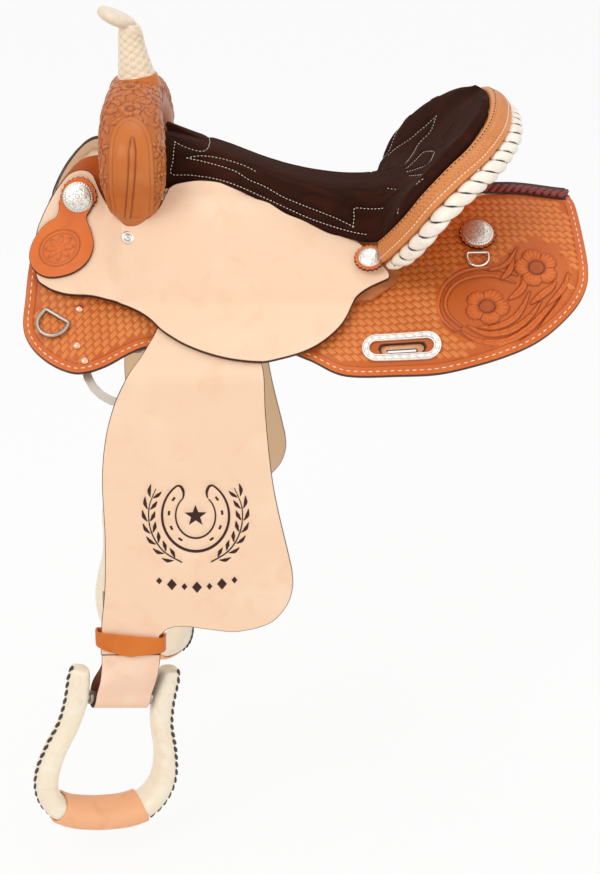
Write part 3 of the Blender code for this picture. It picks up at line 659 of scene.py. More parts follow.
def shell(name: str, top: Points, low: Points, tints: Tints | None = None) -> Piece:
    """A sheet of leather between two grids of points, closed round its edges.

    Args:
        name: the piece's name.
        top: rows and points of the face, in millimetres.
        low: rows and points of the back.
        tints: numbers for each point of the face. The back takes the same.

    Returns:
        The object, with its faces outward.
    """
    rows = np.concatenate([top, low[:, ::-1]], axis=1)
    both = {key: np.concatenate([value, value[:, ::-1]], axis=1)
            for key, value in (tints or {}).items()}
    back = np.concatenate([np.zeros(top.shape[:2]), np.ones(low.shape[:2])], axis=1)
    return loft(name, rows, {**both, "back": back})


@dataclass
class Panel:
    """A leather cut from a flat outline, with rounded edges, and bent over the saddle."""

    name: str
    outline: Points
    low: Surface
    high: Surface
    place: Place
    spacing: float = 7.0
    rounding: float = 1.1
    rings: tuple[float, ...] = ()
    relief: Callable[[Points, Points], tuple[Points, Tints]] | None = None
    extra: Sequence[Points] = ()
    holes: Sequence[Points] = ()
    burn: float = 0.9

    def pattern(self) -> tuple[Points, list[list[int]], Points, list[Points]]:
        """The flat piece as triangles.

        Returns:
            Its points, faces, distances to the edge, and for each edge its points in order.
        """
        offsets = ([self.rounding * k for k in (0.12, 0.4, 1.0)] + [self.burn * 1.2]
                   + list(self.rings))
        groups = [self.outline] + [inset(self.outline, d) for d in offsets] + list(self.extra)
        low, high = self.outline.min(0), self.outline.max(0)
        gx, gy = (np.arange(low[k] + self.spacing * 0.6, high[k], self.spacing) for k in (0, 1))
        grid = np.stack(np.meshgrid(gx, gy), axis=-1).reshape(-1, 2)
        grid[:, 0] += np.where(np.round((grid[:, 1] - low[1]) / self.spacing) % 2 > 0,
                               self.spacing / 2, 0)
        grid = grid[inside(grid, self.outline)]
        gap = nearest(grid, self.outline, True)[0]
        room = np.min([np.abs(gap - d) for d in [0.0, *offsets]], axis=0)
        grid = grid[room > self.spacing * 0.38]
        rims = [self.outline, *self.holes]
        if len(self.extra):
            grid = grid[far_from(grid, np.concatenate(self.extra), self.spacing * 0.3)]
        loose = np.concatenate([*groups[1:], grid])
        for hole in self.holes:
            loose = loose[~inside(loose, hole) & (nearest(loose, hole, True)[0] > 0.4)]
        flat = [Vector(p) for p in np.concatenate([*rims, loose])]
        edges, loops, first = [], [], 0
        for rim in rims:
            count = len(rim)
            edges += [(first + i, first + (i + 1) % count) for i in range(count)]
            loops.append(range(first, first + count))
            first += count
        points, _, faces, origins, _, _ = delaunay_2d_cdt(flat, edges, [list(loops[0])], 1, 1e-4)
        made = np.array([tuple(p) for p in points])
        place_of = {i: place for place, ids in enumerate(origins) for i in ids if i < first}
        rings = []
        for loop in loops:
            ring = [place_of[i] for i in loop if i in place_of]
            rings.append(np.array([e for k, e in enumerate(ring) if e != ring[k - 1]]))
        faces = [list(f) for f in faces]
        away = nearest(made, self.outline, True)[0]
        for hole in self.holes:
            middles = made[np.array(faces)].mean(1)
            out = ~inside(middles, hole)
            faces = [f for f, keep in zip(faces, out) if keep]
            away = np.minimum(away, nearest(made, hole, True)[0])
        for ring in rings:
            away[ring] = 0
        return made, faces, away, rings

    def build(self, side: Side) -> Piece:
        """Makes the leather on one side of the saddle."""
        flat, faces, away, rings = self.pattern()
        x, v = flat[:, 0], flat[:, 1]
        lift, tints = self.relief(flat, away) if self.relief else (0, {})
        share = 1 - np.clip(away / self.rounding, 0, 1)
        drop = self.rounding * (1 - np.sqrt(np.maximum(0, 1 - share**2)))
        top = self.place(side, x, v, self.high(x, v) + lift - drop)
        low = self.place(side, x, v, self.low(x, v) + 0.7 * drop)
        count = len(flat)
        quads = [(a, b, b + count, a + count) for ring in rings
                 for a, b in zip(np.roll(ring, 1), ring)]
        below = [[i + count for i in reversed(f)] for f in faces]
        zeros = np.zeros(count)
        burnt = np.clip(1.15 - away / self.burn, 0, 1)
        all_tints = {"edge": np.concatenate([burnt, burnt]),
                     "back": np.concatenate([zeros, zeros + 1])}
        for key, values in tints.items():
            all_tints[key] = np.concatenate([values, zeros])
        points = np.concatenate([top, low])
        return face_out(mesh_object(f"{self.name}_{side.word}", points, faces + below + quads,
                                    all_tints))


def join(name: str, pieces: Sequence[Piece]) -> Piece:
    """Several small meshes as one piece, each keeping its material."""
    bm = bmesh.new()
    mesh = bpy.data.meshes.new(name)
    for piece in pieces:
        for material in piece.data.materials:
            if material and material.name not in mesh.materials:
                mesh.materials.append(material)
    for piece in pieces:
        first = len(bm.faces)
        bm.from_mesh(piece.data)
        bm.faces.ensure_lookup_table()
        numbers = [max(0, mesh.materials.find(m.name)) if m else 0 for m in piece.data.materials]
        for face in bm.faces[first:]:
            face.material_index = numbers[face.material_index] if numbers else 0
        bpy.data.objects.remove(piece)
    bm.to_mesh(mesh)
    bm.free()
    return linked(name, mesh)


def settle(obj: Piece) -> Piece:
    """Replaces an object's mesh by what its modifiers make of it, and removes them."""
    graph = bpy.context.evaluated_depsgraph_get()
    made = bpy.data.meshes.new_from_object(obj.evaluated_get(graph))
    obj.modifiers.clear()
    obj.data = made
    return obj


def moved(obj: Piece, frame: Matrix) -> Piece:
    """Moves a mesh made round the origin to its frame, given in millimetres."""
    place = frame.copy()
    place.translation = frame.translation * MM
    obj.data.transform(place)
    obj.data.update()
    return obj


# ---------------------------------------------------------------------------------------------
# Finishes
# ---------------------------------------------------------------------------------------------


def linear(colour: str) -> tuple[float, float, float, float]:
    """An sRGB hex colour as linear red, green, blue and alpha."""
    parts = [int(colour[i : i + 2], 16) / 255 for i in (1, 3, 5)]
    red, green, blue = (c / 12.92 if c <= 0.04045 else ((c + 0.055) / 1.055) ** 2.4 for c in parts)
    return red, green, blue, 1.0


def add_node(tree: bpy.types.NodeTree, kind: str, settings: dict[str, Any] | None = None,
             inputs: dict[str | int, Any] | None = None) -> bpy.types.Node:
    """Adds a node with its settings, values and links.

    Args:
        tree: the node tree.
        kind: the node's type name.
        settings: properties of the node.
        inputs: for each input's name or number, its value or the socket that feeds it.

    Returns:
        The node.
    """
    node = tree.nodes.new(kind)
    for key, value in (settings or {}).items():
        setattr(node, key, value)
    for key, value in (inputs or {}).items():
        if isinstance(value, Socket):
            tree.links.new(value, node.inputs[key])
        else:
            node.inputs[key].default_value = value
    return node


class Recipe:
    """A material in the making: its tree, the object's coordinates and a running colour."""

    def __init__(self, name: str, colour: str, **shader: float) -> None:
        """Starts a Principled material.

        Args:
            name: the material's name.
            colour: its main colour, as sRGB hex.
            **shader: values for the shader's own inputs, by name with _ for a space.
        """
        self.material = bpy.data.materials.new(name)
        self.material.use_nodes = True
        self.tree = self.material.node_tree
        self.shader = self.tree.nodes["Principled BSDF"]
        for key, value in shader.items():
            self.shader.inputs[key.replace("_", " ")].default_value = value
        self.at = add_node(self.tree, "ShaderNodeTexCoord").outputs["Object"]
        self.colour: Any = linear(colour)
        self.normal: Socket | None = None

    def noise(self, size: float, detail: float = 3.0,
              stretch: tuple[float, float, float] = (1, 1, 1), warp: float = 0.0) -> Socket:
        """Clouds of a given size in millimetres, from 0 to 1."""
        at = add_node(self.tree, "ShaderNodeMapping", None,
                      {"Vector": self.at, "Scale": stretch}).outputs[0]
        values = {"Vector": at, "Scale": 1000 / size, "Detail": detail, "Distortion": warp}
        return add_node(self.tree, "ShaderNodeTexNoise", None, values).outputs["Fac"]

    def cells(self, size: float) -> Socket:
        """Distance across cells of a given size in millimetres."""
        values = {"Vector": self.at, "Scale": 1000 / size}
        return add_node(self.tree, "ShaderNodeTexVoronoi", None, values).outputs["Distance"]

    def tint(self, name: str) -> Socket:
        """A number that the mesh holds for each point, or 0 where it holds none."""
        return add_node(self.tree, "ShaderNodeAttribute", {"attribute_name": name}).outputs["Fac"]

    def band(self, value: Socket, low: float, high: float, top: float = 1.0) -> Socket:
        """A smooth step of a value between two marks, up to top."""
        values = {"Value": value, "From Min": low, "From Max": high, "To Min": 0.0, "To Max": top}
        settings = {"interpolation_type": "SMOOTHSTEP"}
        return add_node(self.tree, "ShaderNodeMapRange", settings, values).outputs["Result"]

    def mix(self, share: Any, colour: str) -> None:
        """Lays another colour over the running one, by a share."""
        values = {0: share, 6: self.colour, 7: linear(colour)}
        self.colour = add_node(self.tree, "ShaderNodeMix", {"data_type": "RGBA"}, values).outputs[2]

    def bump(self, height: Socket, depth: float, strength: float = 1.0) -> None:
        """Raises the surface by a pattern, depth in millimetres."""
        values: dict[str | int, Any] = {"Height": height, "Distance": depth * MM,
                                        "Strength": strength}
        if self.normal:
            values["Normal"] = self.normal
        self.normal = add_node(self.tree, "ShaderNodeBump", None, values).outputs["Normal"]

    def rough(self, value: Socket, low: float, high: float) -> None:
        """Lets the roughness follow a pattern between two values."""
        values = {"Value": value, "To Min": low, "To Max": high}
        node = add_node(self.tree, "ShaderNodeMapRange", None, values)
        self.tree.links.new(node.outputs["Result"], self.shader.inputs["Roughness"])

    def done(self) -> bpy.types.Material:
        """Connects the running colour and normal to the shader, and returns the material."""
        if isinstance(self.colour, Socket):
            self.tree.links.new(self.colour, self.shader.inputs["Base Color"])
        else:
            self.shader.inputs["Base Color"].default_value = self.colour
        if self.normal:
            self.tree.links.new(self.normal, self.shader.inputs["Normal"])
        return self.material


@dataclass(frozen=True)
class Leather:
    """Vegetable-tanned leather: mottled dye, darker crevices, burnished edges, rough flesh side."""

    name: str
    colour: str
    light: str
    dark: str
    deep: str
    flesh: str
    roughness: float = 0.45
    coat: float = 0.1
    grain: float = 0.12
    ink: str = "#3c1f1a"
    edge: str = "#43211b"

    def make(self) -> bpy.types.Material:
        """Builds the material."""
        r = Recipe(self.name, self.colour, Coat_Weight=self.coat * 0.4, Coat_Roughness=0.3, IOR=1.5,
                   Specular_IOR_Level=0.28)
        # Dye takes up unevenly over hand-sized and finger-sized areas
        r.mix(r.band(r.noise(70, 2), 0.5, 0.72, 0.6), self.light)
        r.mix(r.band(r.noise(28, 3, warp=0.6), 0.52, 0.75, 0.5), self.dark)
        # Pores and fibres, drawn at 1.6 mm, coarser than real, so that they show
        fine = r.noise(1.6, 4)
        r.mix(r.band(fine, 0.5, 0.8, 0.22), self.dark)
        # The crevice tint: antique stain in the tooling, and round carved shapes painted shade
        r.mix(r.tint("deep"), self.deep)
        r.mix(r.tint("ink"), self.ink)
        r.mix(r.tint("back"), self.flesh)
        r.mix(r.band(r.tint("edge"), 0.25, 0.8), self.edge)
        r.bump(fine, 0.25, self.grain * 2)
        r.bump(r.cells(2.4), 0.15, self.grain)
        r.rough(r.noise(9, 2), self.roughness - 0.08, self.roughness + 0.1)
        return r.done()


@dataclass(frozen=True)
class Suede:
    """Chrome-tanned split, brushed: a nap that lies both ways in patches, and a faint sheen."""

    name: str
    colour: str
    light: str
    dark: str

    def make(self) -> bpy.types.Material:
        """Builds the material."""
        r = Recipe(self.name, self.colour, Roughness=0.95, Sheen_Weight=0.06, Sheen_Roughness=0.4,
                   IOR=1.4, Specular_IOR_Level=0.15)
        r.shader.inputs["Sheen Tint"].default_value = linear("#a06a4c")
        # Hands leave lighter and darker strokes, longer along the saddle than across
        r.mix(r.band(r.noise(34, 4, (0.5, 1, 1), 1.2), 0.48, 0.72, 0.85), self.light)
        r.mix(r.band(r.noise(19, 3, (0.6, 1, 1), 0.8), 0.5, 0.78, 0.8), self.dark)
        # Painted shade in the seat's sewn channels and fold troughs
        r.mix(r.tint("deep"), self.dark)
        r.mix(r.band(r.noise(1.3, 3), 0.45, 0.8, 0.35), self.light)
        r.mix(r.band(r.tint("edge"), 0.3, 0.9), self.dark)
        r.bump(r.noise(1.1, 4), 0.35, 0.7)
        return r.done()


@dataclass(frozen=True)
class Rawhide:
    """Untanned hide, dried in place: ivory, cloudy where it is thick, glossy on its high places."""

    name: str
    colour: str
    light: str
    dark: str
    roughness: float = 0.38

    def make(self) -> bpy.types.Material:
        """Builds the material."""
        r = Recipe(self.name, self.colour, Coat_Weight=0.25, Coat_Roughness=0.22, IOR=1.52,
                   Subsurface_Weight=0.12, Subsurface_Scale=0.004)
        r.mix(r.band(r.noise(24, 3, warp=0.5), 0.45, 0.75, 0.8), self.light)
        r.mix(r.band(r.noise(13, 4, warp=1.2), 0.52, 0.8, 0.6), self.dark)
        # Painted shade in the hollows of the horn's braid and the binding's valleys
        r.mix(r.tint("deep"), "#8f7049")
        r.mix(r.band(r.tint("edge"), 0.3, 0.9, 0.5), self.dark)
        r.bump(r.noise(3.2, 4, warp=0.8), 0.3, 0.4)
        r.rough(r.noise(8, 2), self.roughness - 0.08, self.roughness + 0.12)
        return r.done()


@dataclass(frozen=True)
class Metal:
    """Plated metal, polished or satin, with faint scratches. Its crevices hold dark polish."""

    name: str
    colour: str
    deep: str
    roughness: float
    chased: float = 0.0
    metallic: float = 1.0

    def make(self) -> bpy.types.Material:
        """Builds the material."""
        r = Recipe(self.name, self.colour, Metallic=self.metallic)
        r.mix(r.band(r.noise(5, 3, warp=1.0), 0.5, 0.8, 0.25), self.deep)
        r.mix(r.tint("deep"), self.deep)
        if self.chased:
            # Chased leafwork about 2.5 mm wide, as bright and dark curls
            curls = r.noise(2.6, 2, warp=self.chased)
            r.mix(r.band(curls, 0.54, 0.68, 0.35), self.deep)
            r.bump(curls, 0.12, 0.5)
        r.bump(r.noise(2.2, 2, (1, 9, 1)), 0.02, 0.4)
        r.rough(r.noise(6, 3), self.roughness - 0.06, self.roughness + 0.1)
        return r.done()


@dataclass(frozen=True)
class Wool:
    """Sheared woolskin: springy locks, cream with darker roots."""

    name: str
    colour: str
    dark: str

    def make(self) -> bpy.types.Material:
        """Builds the material."""
        r = Recipe(self.name, self.colour, Roughness=1.0, Sheen_Weight=0.5, Sheen_Roughness=0.6,
                   IOR=1.4)
        locks = r.noise(5, 4, warp=1.5)
        r.mix(r.band(locks, 0.35, 0.62, 0.7), "#f3ead6")
        r.mix(r.band(r.cells(7), 0.5, 0.9, 0.5), self.dark)
        r.mix(r.band(r.tint("edge"), 0.2, 1.0, 0.25), self.dark)
        # The skin side, towards the skirt
        r.mix(r.tint("back"), "#d99c63")
        r.bump(locks, 2.2, 0.9)
        r.bump(r.noise(1.4, 3), 0.6, 0.6)
        return r.done()


@dataclass(frozen=True)
class Cord:
    """Thread or lace: twisted fibres that catch the light along their length."""

    name: str
    colour: str
    dark: str
    roughness: float

    def make(self) -> bpy.types.Material:
        """Builds the material."""
        r = Recipe(self.name, self.colour, Roughness=self.roughness, IOR=1.48)
        r.mix(r.band(r.noise(3.5, 2), 0.45, 0.75, 0.6), self.dark)
        r.mix(r.tint("deep"), self.dark)
        r.bump(r.noise(0.8, 2, (1, 4, 4)), 0.15, 0.5)
        return r.done()


@dataclass(frozen=True)
class Timber:
    """Sawn wood under the leather: straight growth rings and pores."""

    name: str
    colour: str
    dark: str

    def make(self) -> bpy.types.Material:
        """Builds the material."""
        r = Recipe(self.name, self.colour, Roughness=0.62, IOR=1.5)
        rings = r.noise(9, 4, (0.08, 1, 1), 0.6)
        r.mix(r.band(rings, 0.4, 0.65, 0.75), self.dark)
        r.bump(r.noise(1.6, 3, (0.1, 1, 1)), 0.2, 0.5)
        return r.done()


@dataclass(frozen=True)
class Foam:
    """Open-cell foam, cast and cut: small dark pores."""

    name: str
    colour: str
    dark: str

    def make(self) -> bpy.types.Material:
        """Builds the material."""
        r = Recipe(self.name, self.colour, Roughness=0.95, IOR=1.4)
        pores = r.cells(2.2)
        r.mix(r.band(pores, 0.1, 0.45, 0.4), self.dark)
        r.bump(pores, 0.4, 0.6)
        return r.done()


class Finish(Enum):
    """The saddle's finishes. Each is made once, when a piece first takes it."""

    # Skirting leather oiled russet: warm orange brown, tooled, with burnished edges
    TAN = Leather("skirting_leather_oiled_tooled", "#dc6e2b", "#e67b34", "#cc5e20", "#8d3b15",
                  "#e6c49f", 0.42, 0.14)
    # Its stamped elements: the same leather painted lighter, a painted highlight against the shade
    # of their slopes
    BASKET = Leather("skirting_leather_basket_stamped", "#e98841", "#f39a55", "#d97433", "#96421a",
                     "#b98052", 0.42, 0.14)
    # The same leather over the swell and cantle, stretched lighter
    SWELL = Leather("skirting_leather_blocked_carved", "#d0742f", "#e18f4c", "#c26427", "#823612",
                    "#b98052", 0.36, 0.2)
    BAND = Leather("skirting_leather_cantle_roll", "#dd8d50", "#e8a069", "#d07d40", "#a0521f",
                   "#b98052", 0.45, 0.1)
    # A dark sheet in the breast dee's slit: painted shade for its inside, which is hardly lit
    DARK = Leather("skirting_leather_slit_burnished", "#5a2c1c", "#6b3724", "#43211b", "#2c1510",
                   "#43211b", 0.6, 0.0)
    # Natural skirting leather, undyed: pale flesh pink, matt, with almost black burnished edges
    PALE = Leather("skirting_leather_natural", "#fbd6b6", "#ffe0c3", "#f6c9a6", "#b27a53",
                   "#e2c09b", 0.6, 0.02, 0.08)
    # The same, split and lined: its inside is brown
    NECK = Leather("skirting_leather_natural_doubled", "#fbd3b6", "#ffe0c6", "#f3c5a4", "#b27a53",
                   "#a9683f", 0.6, 0.02, 0.08)
    # Harness leather, oiled and rubbed: even orange
    STRAP = Leather("harness_leather_oiled", "#d77226", "#e07e30", "#c8651d", "#8a3f12", "#b56d38",
                    0.42, 0.12, 0.06)
    # Chap leather on the treads: soft, smooth and pinkish tan
    CHAP = Leather("chap_leather_rolled", "#fab98a", "#ffc69c", "#eca778", "#a8663c", "#c48a5f",
                   0.5, 0.06, 0.06)
    SUEDE = Suede("suede_brushed_chocolate", "#31170e", "#3d1c12", "#200d08")
    # Bleached rawhide, wrapped wet and dried
    HORN = Rawhide("rawhide_braided_horn", "#fbe6c9", "#fff1da", "#e6cda6")
    CAP = Rawhide("rawhide_stretched_cap", "#e9d6bd", "#f3e4cd", "#d3bb98")
    BINDING = Rawhide("rawhide_bleached_binding", "#f9efe0", "#fffaf0", "#e9d8bd", 0.34)
    STIRRUP = Rawhide("rawhide_laced_stirrup", "#fdecd2", "#fff5e2", "#f0dab9", 0.42)
    # Nickel silver, chased and polished
    SILVER = Metal("nickel_silver_chased", "#ece5dc", "#a0968b", 0.34, 1.2, 0.85)
    BRIGHT = Metal("nickel_silver_polished", "#f1eee8", "#a8a29a", 0.16)
    COPPER = Metal("copper_rivet_hammered", "#f0b79a", "#a8664a", 0.28)
    STEEL = Metal("steel_nickel_plated", "#aca398", "#77716a", 0.36)
    FLEECE = Wool("woolskin_sheared", "#e9dcc0", "#cdb993")
    FOAM = Foam("saddle_foam_cut", "#d9c9a0", "#b39f74")
    WOOD = Timber("tree_wood_rawhide_varnished", "#c8773c", "#ab5f2c")
    # Waxed thread in long stitches
    CREAM_THREAD = Cord("waxed_thread_cream", "#f6ecd8", "#d8c7a6", 0.6)
    DARK_THREAD = Cord("waxed_thread_black", "#2b1a15", "#160d0b", 0.5)
    # Oiled latigo lace, burgundy and dark brown
    MAROON_LACE = Cord("latigo_lace_maroon", "#86281f", "#4a1410", 0.38)
    BROWN_LACE = Cord("latigo_lace_brown", "#3d2721", "#241512", 0.45)

    def material(self) -> bpy.types.Material:
        """The finish's material, made the first time."""
        return bpy.data.materials.get(self.value.name) or self.value.make()


# ---------------------------------------------------------------------------------------------
# What repeats along lines and over surfaces
# ---------------------------------------------------------------------------------------------


class Tree:
    """A geometry nodes tree in the making, with named inputs."""

    def __init__(self, name: str, inputs: dict[str, tuple[str, Any]]) -> None:
        """Starts a tree.

        Args:
            name: the tree's name.
            inputs: for each input's name, its socket type and its default, or None.
        """
        self.tree = bpy.data.node_groups.new(name, "GeometryNodeTree")
        self.tree.interface.new_socket("Geometry", in_out="INPUT", socket_type="NodeSocketGeometry")
        for key, (kind, default) in inputs.items():
            socket = self.tree.interface.new_socket(key, in_out="INPUT", socket_type=kind)
            if default is not None:
                socket.default_value = default
        self.tree.interface.new_socket("Geometry", in_out="OUTPUT",
                                       socket_type="NodeSocketGeometry")
        self.given = add_node(self.tree, "NodeGroupInput").outputs

    def add(self, kind: str, settings: dict[str, Any] | None = None,
            **inputs: Any) -> bpy.types.NodeOutputs:
        """Adds a node, naming its inputs with _ for a space, and returns its outputs."""
        named = {key.replace("_", " "): value for key, value in inputs.items()}
        return add_node(self.tree, kind, settings, named).outputs

    def upright(self, along: Socket) -> Socket:
        """A turn with X along a direction and Z along the points' facing attribute."""
        settings = {"data_type": "FLOAT_VECTOR"}
        facing = self.add("GeometryNodeInputNamedAttribute", settings, Name="facing")["Attribute"]
        first = self.add("FunctionNodeAlignRotationToVector", {"axis": "X"},
                         Vector=along)["Rotation"]
        settings = {"axis": "Z", "pivot_axis": "X"}
        return self.add("FunctionNodeAlignRotationToVector", settings, Rotation=first,
                        Vector=facing)["Rotation"]

    def end(self, geometry: Socket) -> bpy.types.NodeTree:
        """Realises the instances, gives them the finish and closes the tree."""
        real = self.add("GeometryNodeRealizeInstances", Geometry=geometry)["Geometry"]
        made = self.add("GeometryNodeSetMaterial", Geometry=real,
                        Material=self.given["Finish"])["Geometry"]
        add_node(self.tree, "NodeGroupOutput", None, {"Geometry": made})
        return self.tree


def sewing_tree() -> bpy.types.NodeTree:
    """The tree that lays stitches, or strands of lace, at a pitch along the lines of a mesh."""
    kept = bpy.data.node_groups.get("sewing")
    if kept:
        return kept
    number = "NodeSocketFloat"
    inputs = {"Pitch": (number, 0.004), "Length": (number, 0.003), "Width": (number, 0.001),
              "Height": (number, 0.0008), "Slant": (number, 0.0),
              "Finish": ("NodeSocketMaterial", None)}
    t = Tree("sewing", inputs)
    line = t.add("GeometryNodeMeshToCurve", Mesh=t.given["Geometry"])["Curve"]
    steps = t.add("GeometryNodeResampleCurve", {"mode": "LENGTH"}, Curve=line,
                  Length=t.given["Pitch"])["Curve"]
    ball = t.add("GeometryNodeMeshUVSphere", Segments=6, Rings=5, Radius=0.5)["Mesh"]
    size = t.add("ShaderNodeCombineXYZ", X=t.given["Length"], Y=t.given["Width"],
                 Z=t.given["Height"])["Vector"]
    stitch = t.add("GeometryNodeTransform", Geometry=ball, Scale=size)["Geometry"]
    slant = t.add("ShaderNodeCombineXYZ", Z=t.given["Slant"])["Vector"]
    stitch = t.add("GeometryNodeTransform", Geometry=stitch, Rotation=slant)["Geometry"]
    turn = t.upright(t.add("GeometryNodeInputTangent")["Tangent"])
    laid = t.add("GeometryNodeInstanceOnPoints", Points=steps, Instance=stitch,
                 Rotation=turn)["Instances"]
    return t.end(laid)


def stamping_tree() -> bpy.types.NodeTree:
    """The tree that sets a small shape on each point of a mesh, turned by its along and facing."""
    kept = bpy.data.node_groups.get("stamping")
    if kept:
        return kept
    t = Tree("stamping",
             {"Stamp": ("NodeSocketObject", None), "Finish": ("NodeSocketMaterial", None)})
    settings = {"data_type": "FLOAT_VECTOR"}
    along = t.add("GeometryNodeInputNamedAttribute", settings, Name="along")["Attribute"]
    shape = t.add("GeometryNodeObjectInfo", None, Object=t.given["Stamp"])["Geometry"]
    laid = t.add("GeometryNodeInstanceOnPoints", None, Points=t.given["Geometry"], Instance=shape,
                 Rotation=t.upright(along))["Instances"]
    return t.end(laid)


def run_tree(obj: Piece, tree: bpy.types.NodeTree, values: dict[str, Any]) -> Piece:
    """Runs a tree on an object and keeps the result as its plain mesh.

    Args:
        obj: the object that carries the tree's lines or points.
        tree: the tree.
        values: its inputs by name, lengths in metres.

    Returns:
        The same object.
    """
    modifier = obj.modifiers.new(tree.name, "NODES")
    modifier.node_group = tree
    for item in tree.interface.items_tree:
        if item.in_out == "INPUT" and item.name in values:
            modifier[item.identifier] = values[item.name]
    settle(obj)
    obj.data.polygons.foreach_set("use_smooth", [True] * len(obj.data.polygons))
    return obj


def with_vectors(mesh: bpy.types.Mesh, values: Tints) -> None:
    """Stores one direction for each point of a mesh, by attribute name."""
    for key, rows in values.items():
        layer = mesh.attributes.new(key, "FLOAT_VECTOR", "POINT")
        layer.data.foreach_set("vector", np.asarray(rows, np.float32).reshape(-1))


@dataclass(frozen=True)
class Seam:
    """How a line is sewn or laced: sizes in millimetres, and the strand's slant in degrees."""

    pitch: float
    length: float
    width: float
    height: float
    finish: Finish
    slant: float = 0.0

    def lay(self, name: str, lines: Sequence[tuple[Points, Points]]) -> Piece:
        """Sews lines.

        Args:
            name: the piece's name.
            lines: for each line, its points in millimetres and the directions that it faces.

        Returns:
            The stitches as one mesh.
        """
        points = np.concatenate([line for line, _ in lines])
        facing = np.concatenate([face for _, face in lines])
        mesh = bpy.data.meshes.new(name)
        edges, first = [], 0
        for line, _ in lines:
            edges.extend((first + i, first + i + 1) for i in range(len(line) - 1))
            first += len(line)
        mesh.from_pydata((points * MM).tolist(), edges, [])
        with_vectors(mesh, {"facing": facing})
        values = {"Pitch": self.pitch * MM, "Length": self.length * MM, "Width": self.width * MM,
                  "Height": self.height * MM, "Slant": math.radians(self.slant),
                  "Finish": self.finish.material()}
        return run_tree(linked(name, mesh), sewing_tree(), values)


def stamp(name: str, shape: Piece, points: Points, along: Points, facing: Points,
          finish: Finish) -> Piece:
    """Sets a small shape on many points.

    Args:
        name: the piece's name.
        shape: the shape, made round the origin. It is removed afterwards.
        points: the places, in millimetres.
        along: directions for the shape's X.
        facing: directions for its Z.
        finish: the material.

    Returns:
        All of them as one mesh.
    """
    mesh = bpy.data.meshes.new(name)
    mesh.from_pydata((points * MM).tolist(), [], [])
    with_vectors(mesh, {"along": along, "facing": facing})
    obj = run_tree(linked(name, mesh), stamping_tree(),
                   {"Stamp": shape, "Finish": finish.material()})
    bpy.data.objects.remove(shape)
    return obj


def surface_vectors(side: Side, flat: Points, height: Surface) -> tuple[Points, Points, Points]:
    """The surface under points of a pattern.

    Args:
        side: the saddle's side.
        flat: rows of x, v.
        height: the surface's height.

    Returns:
        The points, their outward directions and the directions of growing v.
    """
    def lay(dx: float, dv: float) -> Points:
        """The points, moved a little in the pattern."""
        x, v = flat[:, 0] + dx, flat[:, 1] + dv
        return on_side(side, x, v, height(x, v))

    ahead, down = lay(0.5, 0) - lay(-0.5, 0), lay(0, 0.5) - lay(0, -0.5)
    out = unit(np.cross(down, ahead))
    out *= np.sign((out * np.array([0, side.value, 0.3])).sum(1, keepdims=True))
    return lay(0, 0), out, down


# ---------------------------------------------------------------------------------------------
# Shapes that several sub-assemblies use
# ---------------------------------------------------------------------------------------------


def dress(obj: Piece, body: str | None, finish: Finish | None = None,
          stands_for: Sequence[str] = ()) -> Piece:
    """Gives a piece its finish, body and material slot, and reports it.

    Args:
        obj: the piece.
        finish: its material, unless its mesh holds it already.
        stands_for: the model's nodes that it replaces.

    Returns:
        The piece.
    """
    if finish:
        obj.data.materials.clear()
        obj.data.materials.append(finish.material())
    if body:
        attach(obj, body)
    if stands_for:
        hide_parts(*stands_for)
    LOG.info("%s: %d faces on %s", obj.name, len(obj.data.polygons), body or "two bodies")
    return obj


def in_frame(frame: Matrix) -> Place:
    """A placement that lays a flat pattern in a frame, given in millimetres."""
    turn, at = np.array(frame.to_3x3()), np.array(frame.translation)
    return lambda side, x, v, h: np.stack([x + 0 * h, v + 0 * h, h + 0 * x], axis=-1) @ turn.T + at


def dense(profile: Sequence[Sequence[float]], step: float,
          whole: Callable[[float], int] = math.ceil) -> Points:
    """An open profile with points added, by default so that no step is longer than given."""
    out = [tuple(profile[0])]
    for a, b in zip(profile, profile[1:]):
        count = max(1, whole(math.dist(a, b) / step))
        out.extend((a[0] + (b[0] - a[0]) * k / count, a[1] + (b[1] - a[1]) * k / count)
                   for k in range(1, count + 1))
    return np.array(out)


def turned(name: str, profile: Points, frame: Matrix, segments: int = 64,
           relief: Callable[[Points, Points], tuple[Points, Points]] | None = None) -> Piece:
    """A turned piece with chasing or carving on it.

    Args:
        name: the piece's name.
        profile: rows of radius and height, from the top's middle to the bottom's middle.
        frame: where it stands.
        segments: steps round it.
        relief: gives the lift and the dark tint at a radius and angle.

    Returns:
        The object.
    """
    inner = profile[1:-1]
    r, angle = np.meshgrid(inner[:, 0], turns(segments), indexing="ij")
    h = np.repeat(inner[:, 1:2], segments, axis=1)
    deep = np.zeros_like(r)
    if relief:
        lift, deep = relief(r, angle)
        face = ((h > profile[:, 1].min() + 0.35 * np.ptp(profile[:, 1]))
                | (r < inner[:, 0].max() * 0.97))
        h = h + lift * face
    rows = in_frame(frame)(Side.LEFT, r * np.cos(angle), r * np.sin(angle), h)
    return loft(name, rows, tints={"deep": deep})


def tube(name: str, path: Points, radius: float | Points, closed: bool = False,
         steps: int = 12) -> Piece:
    """Round wire or cord along a path.

    Args:
        name: the piece's name.
        path: the path's points, in millimetres.
        radius: its radius, or one radius for each point.
        closed: whether its end joins its start.
        steps: sides of its section.

    Returns:
        The object.
    """
    ahead = headings(path, closed)
    # Any direction that no path of the saddle starts in
    across = np.cross(ahead[0], [0.31, 0.17, 0.93])
    a = turns(steps)[:, None]
    rows = []
    for at, way, r in zip(path, ahead, radius + np.zeros(len(path))):
        across = unit(across - way * across.dot(way))
        rows.append(at + r * (np.cos(a) * across + np.sin(a) * np.cross(way, across)))
    return loft(name, np.array(rows), loop=closed)


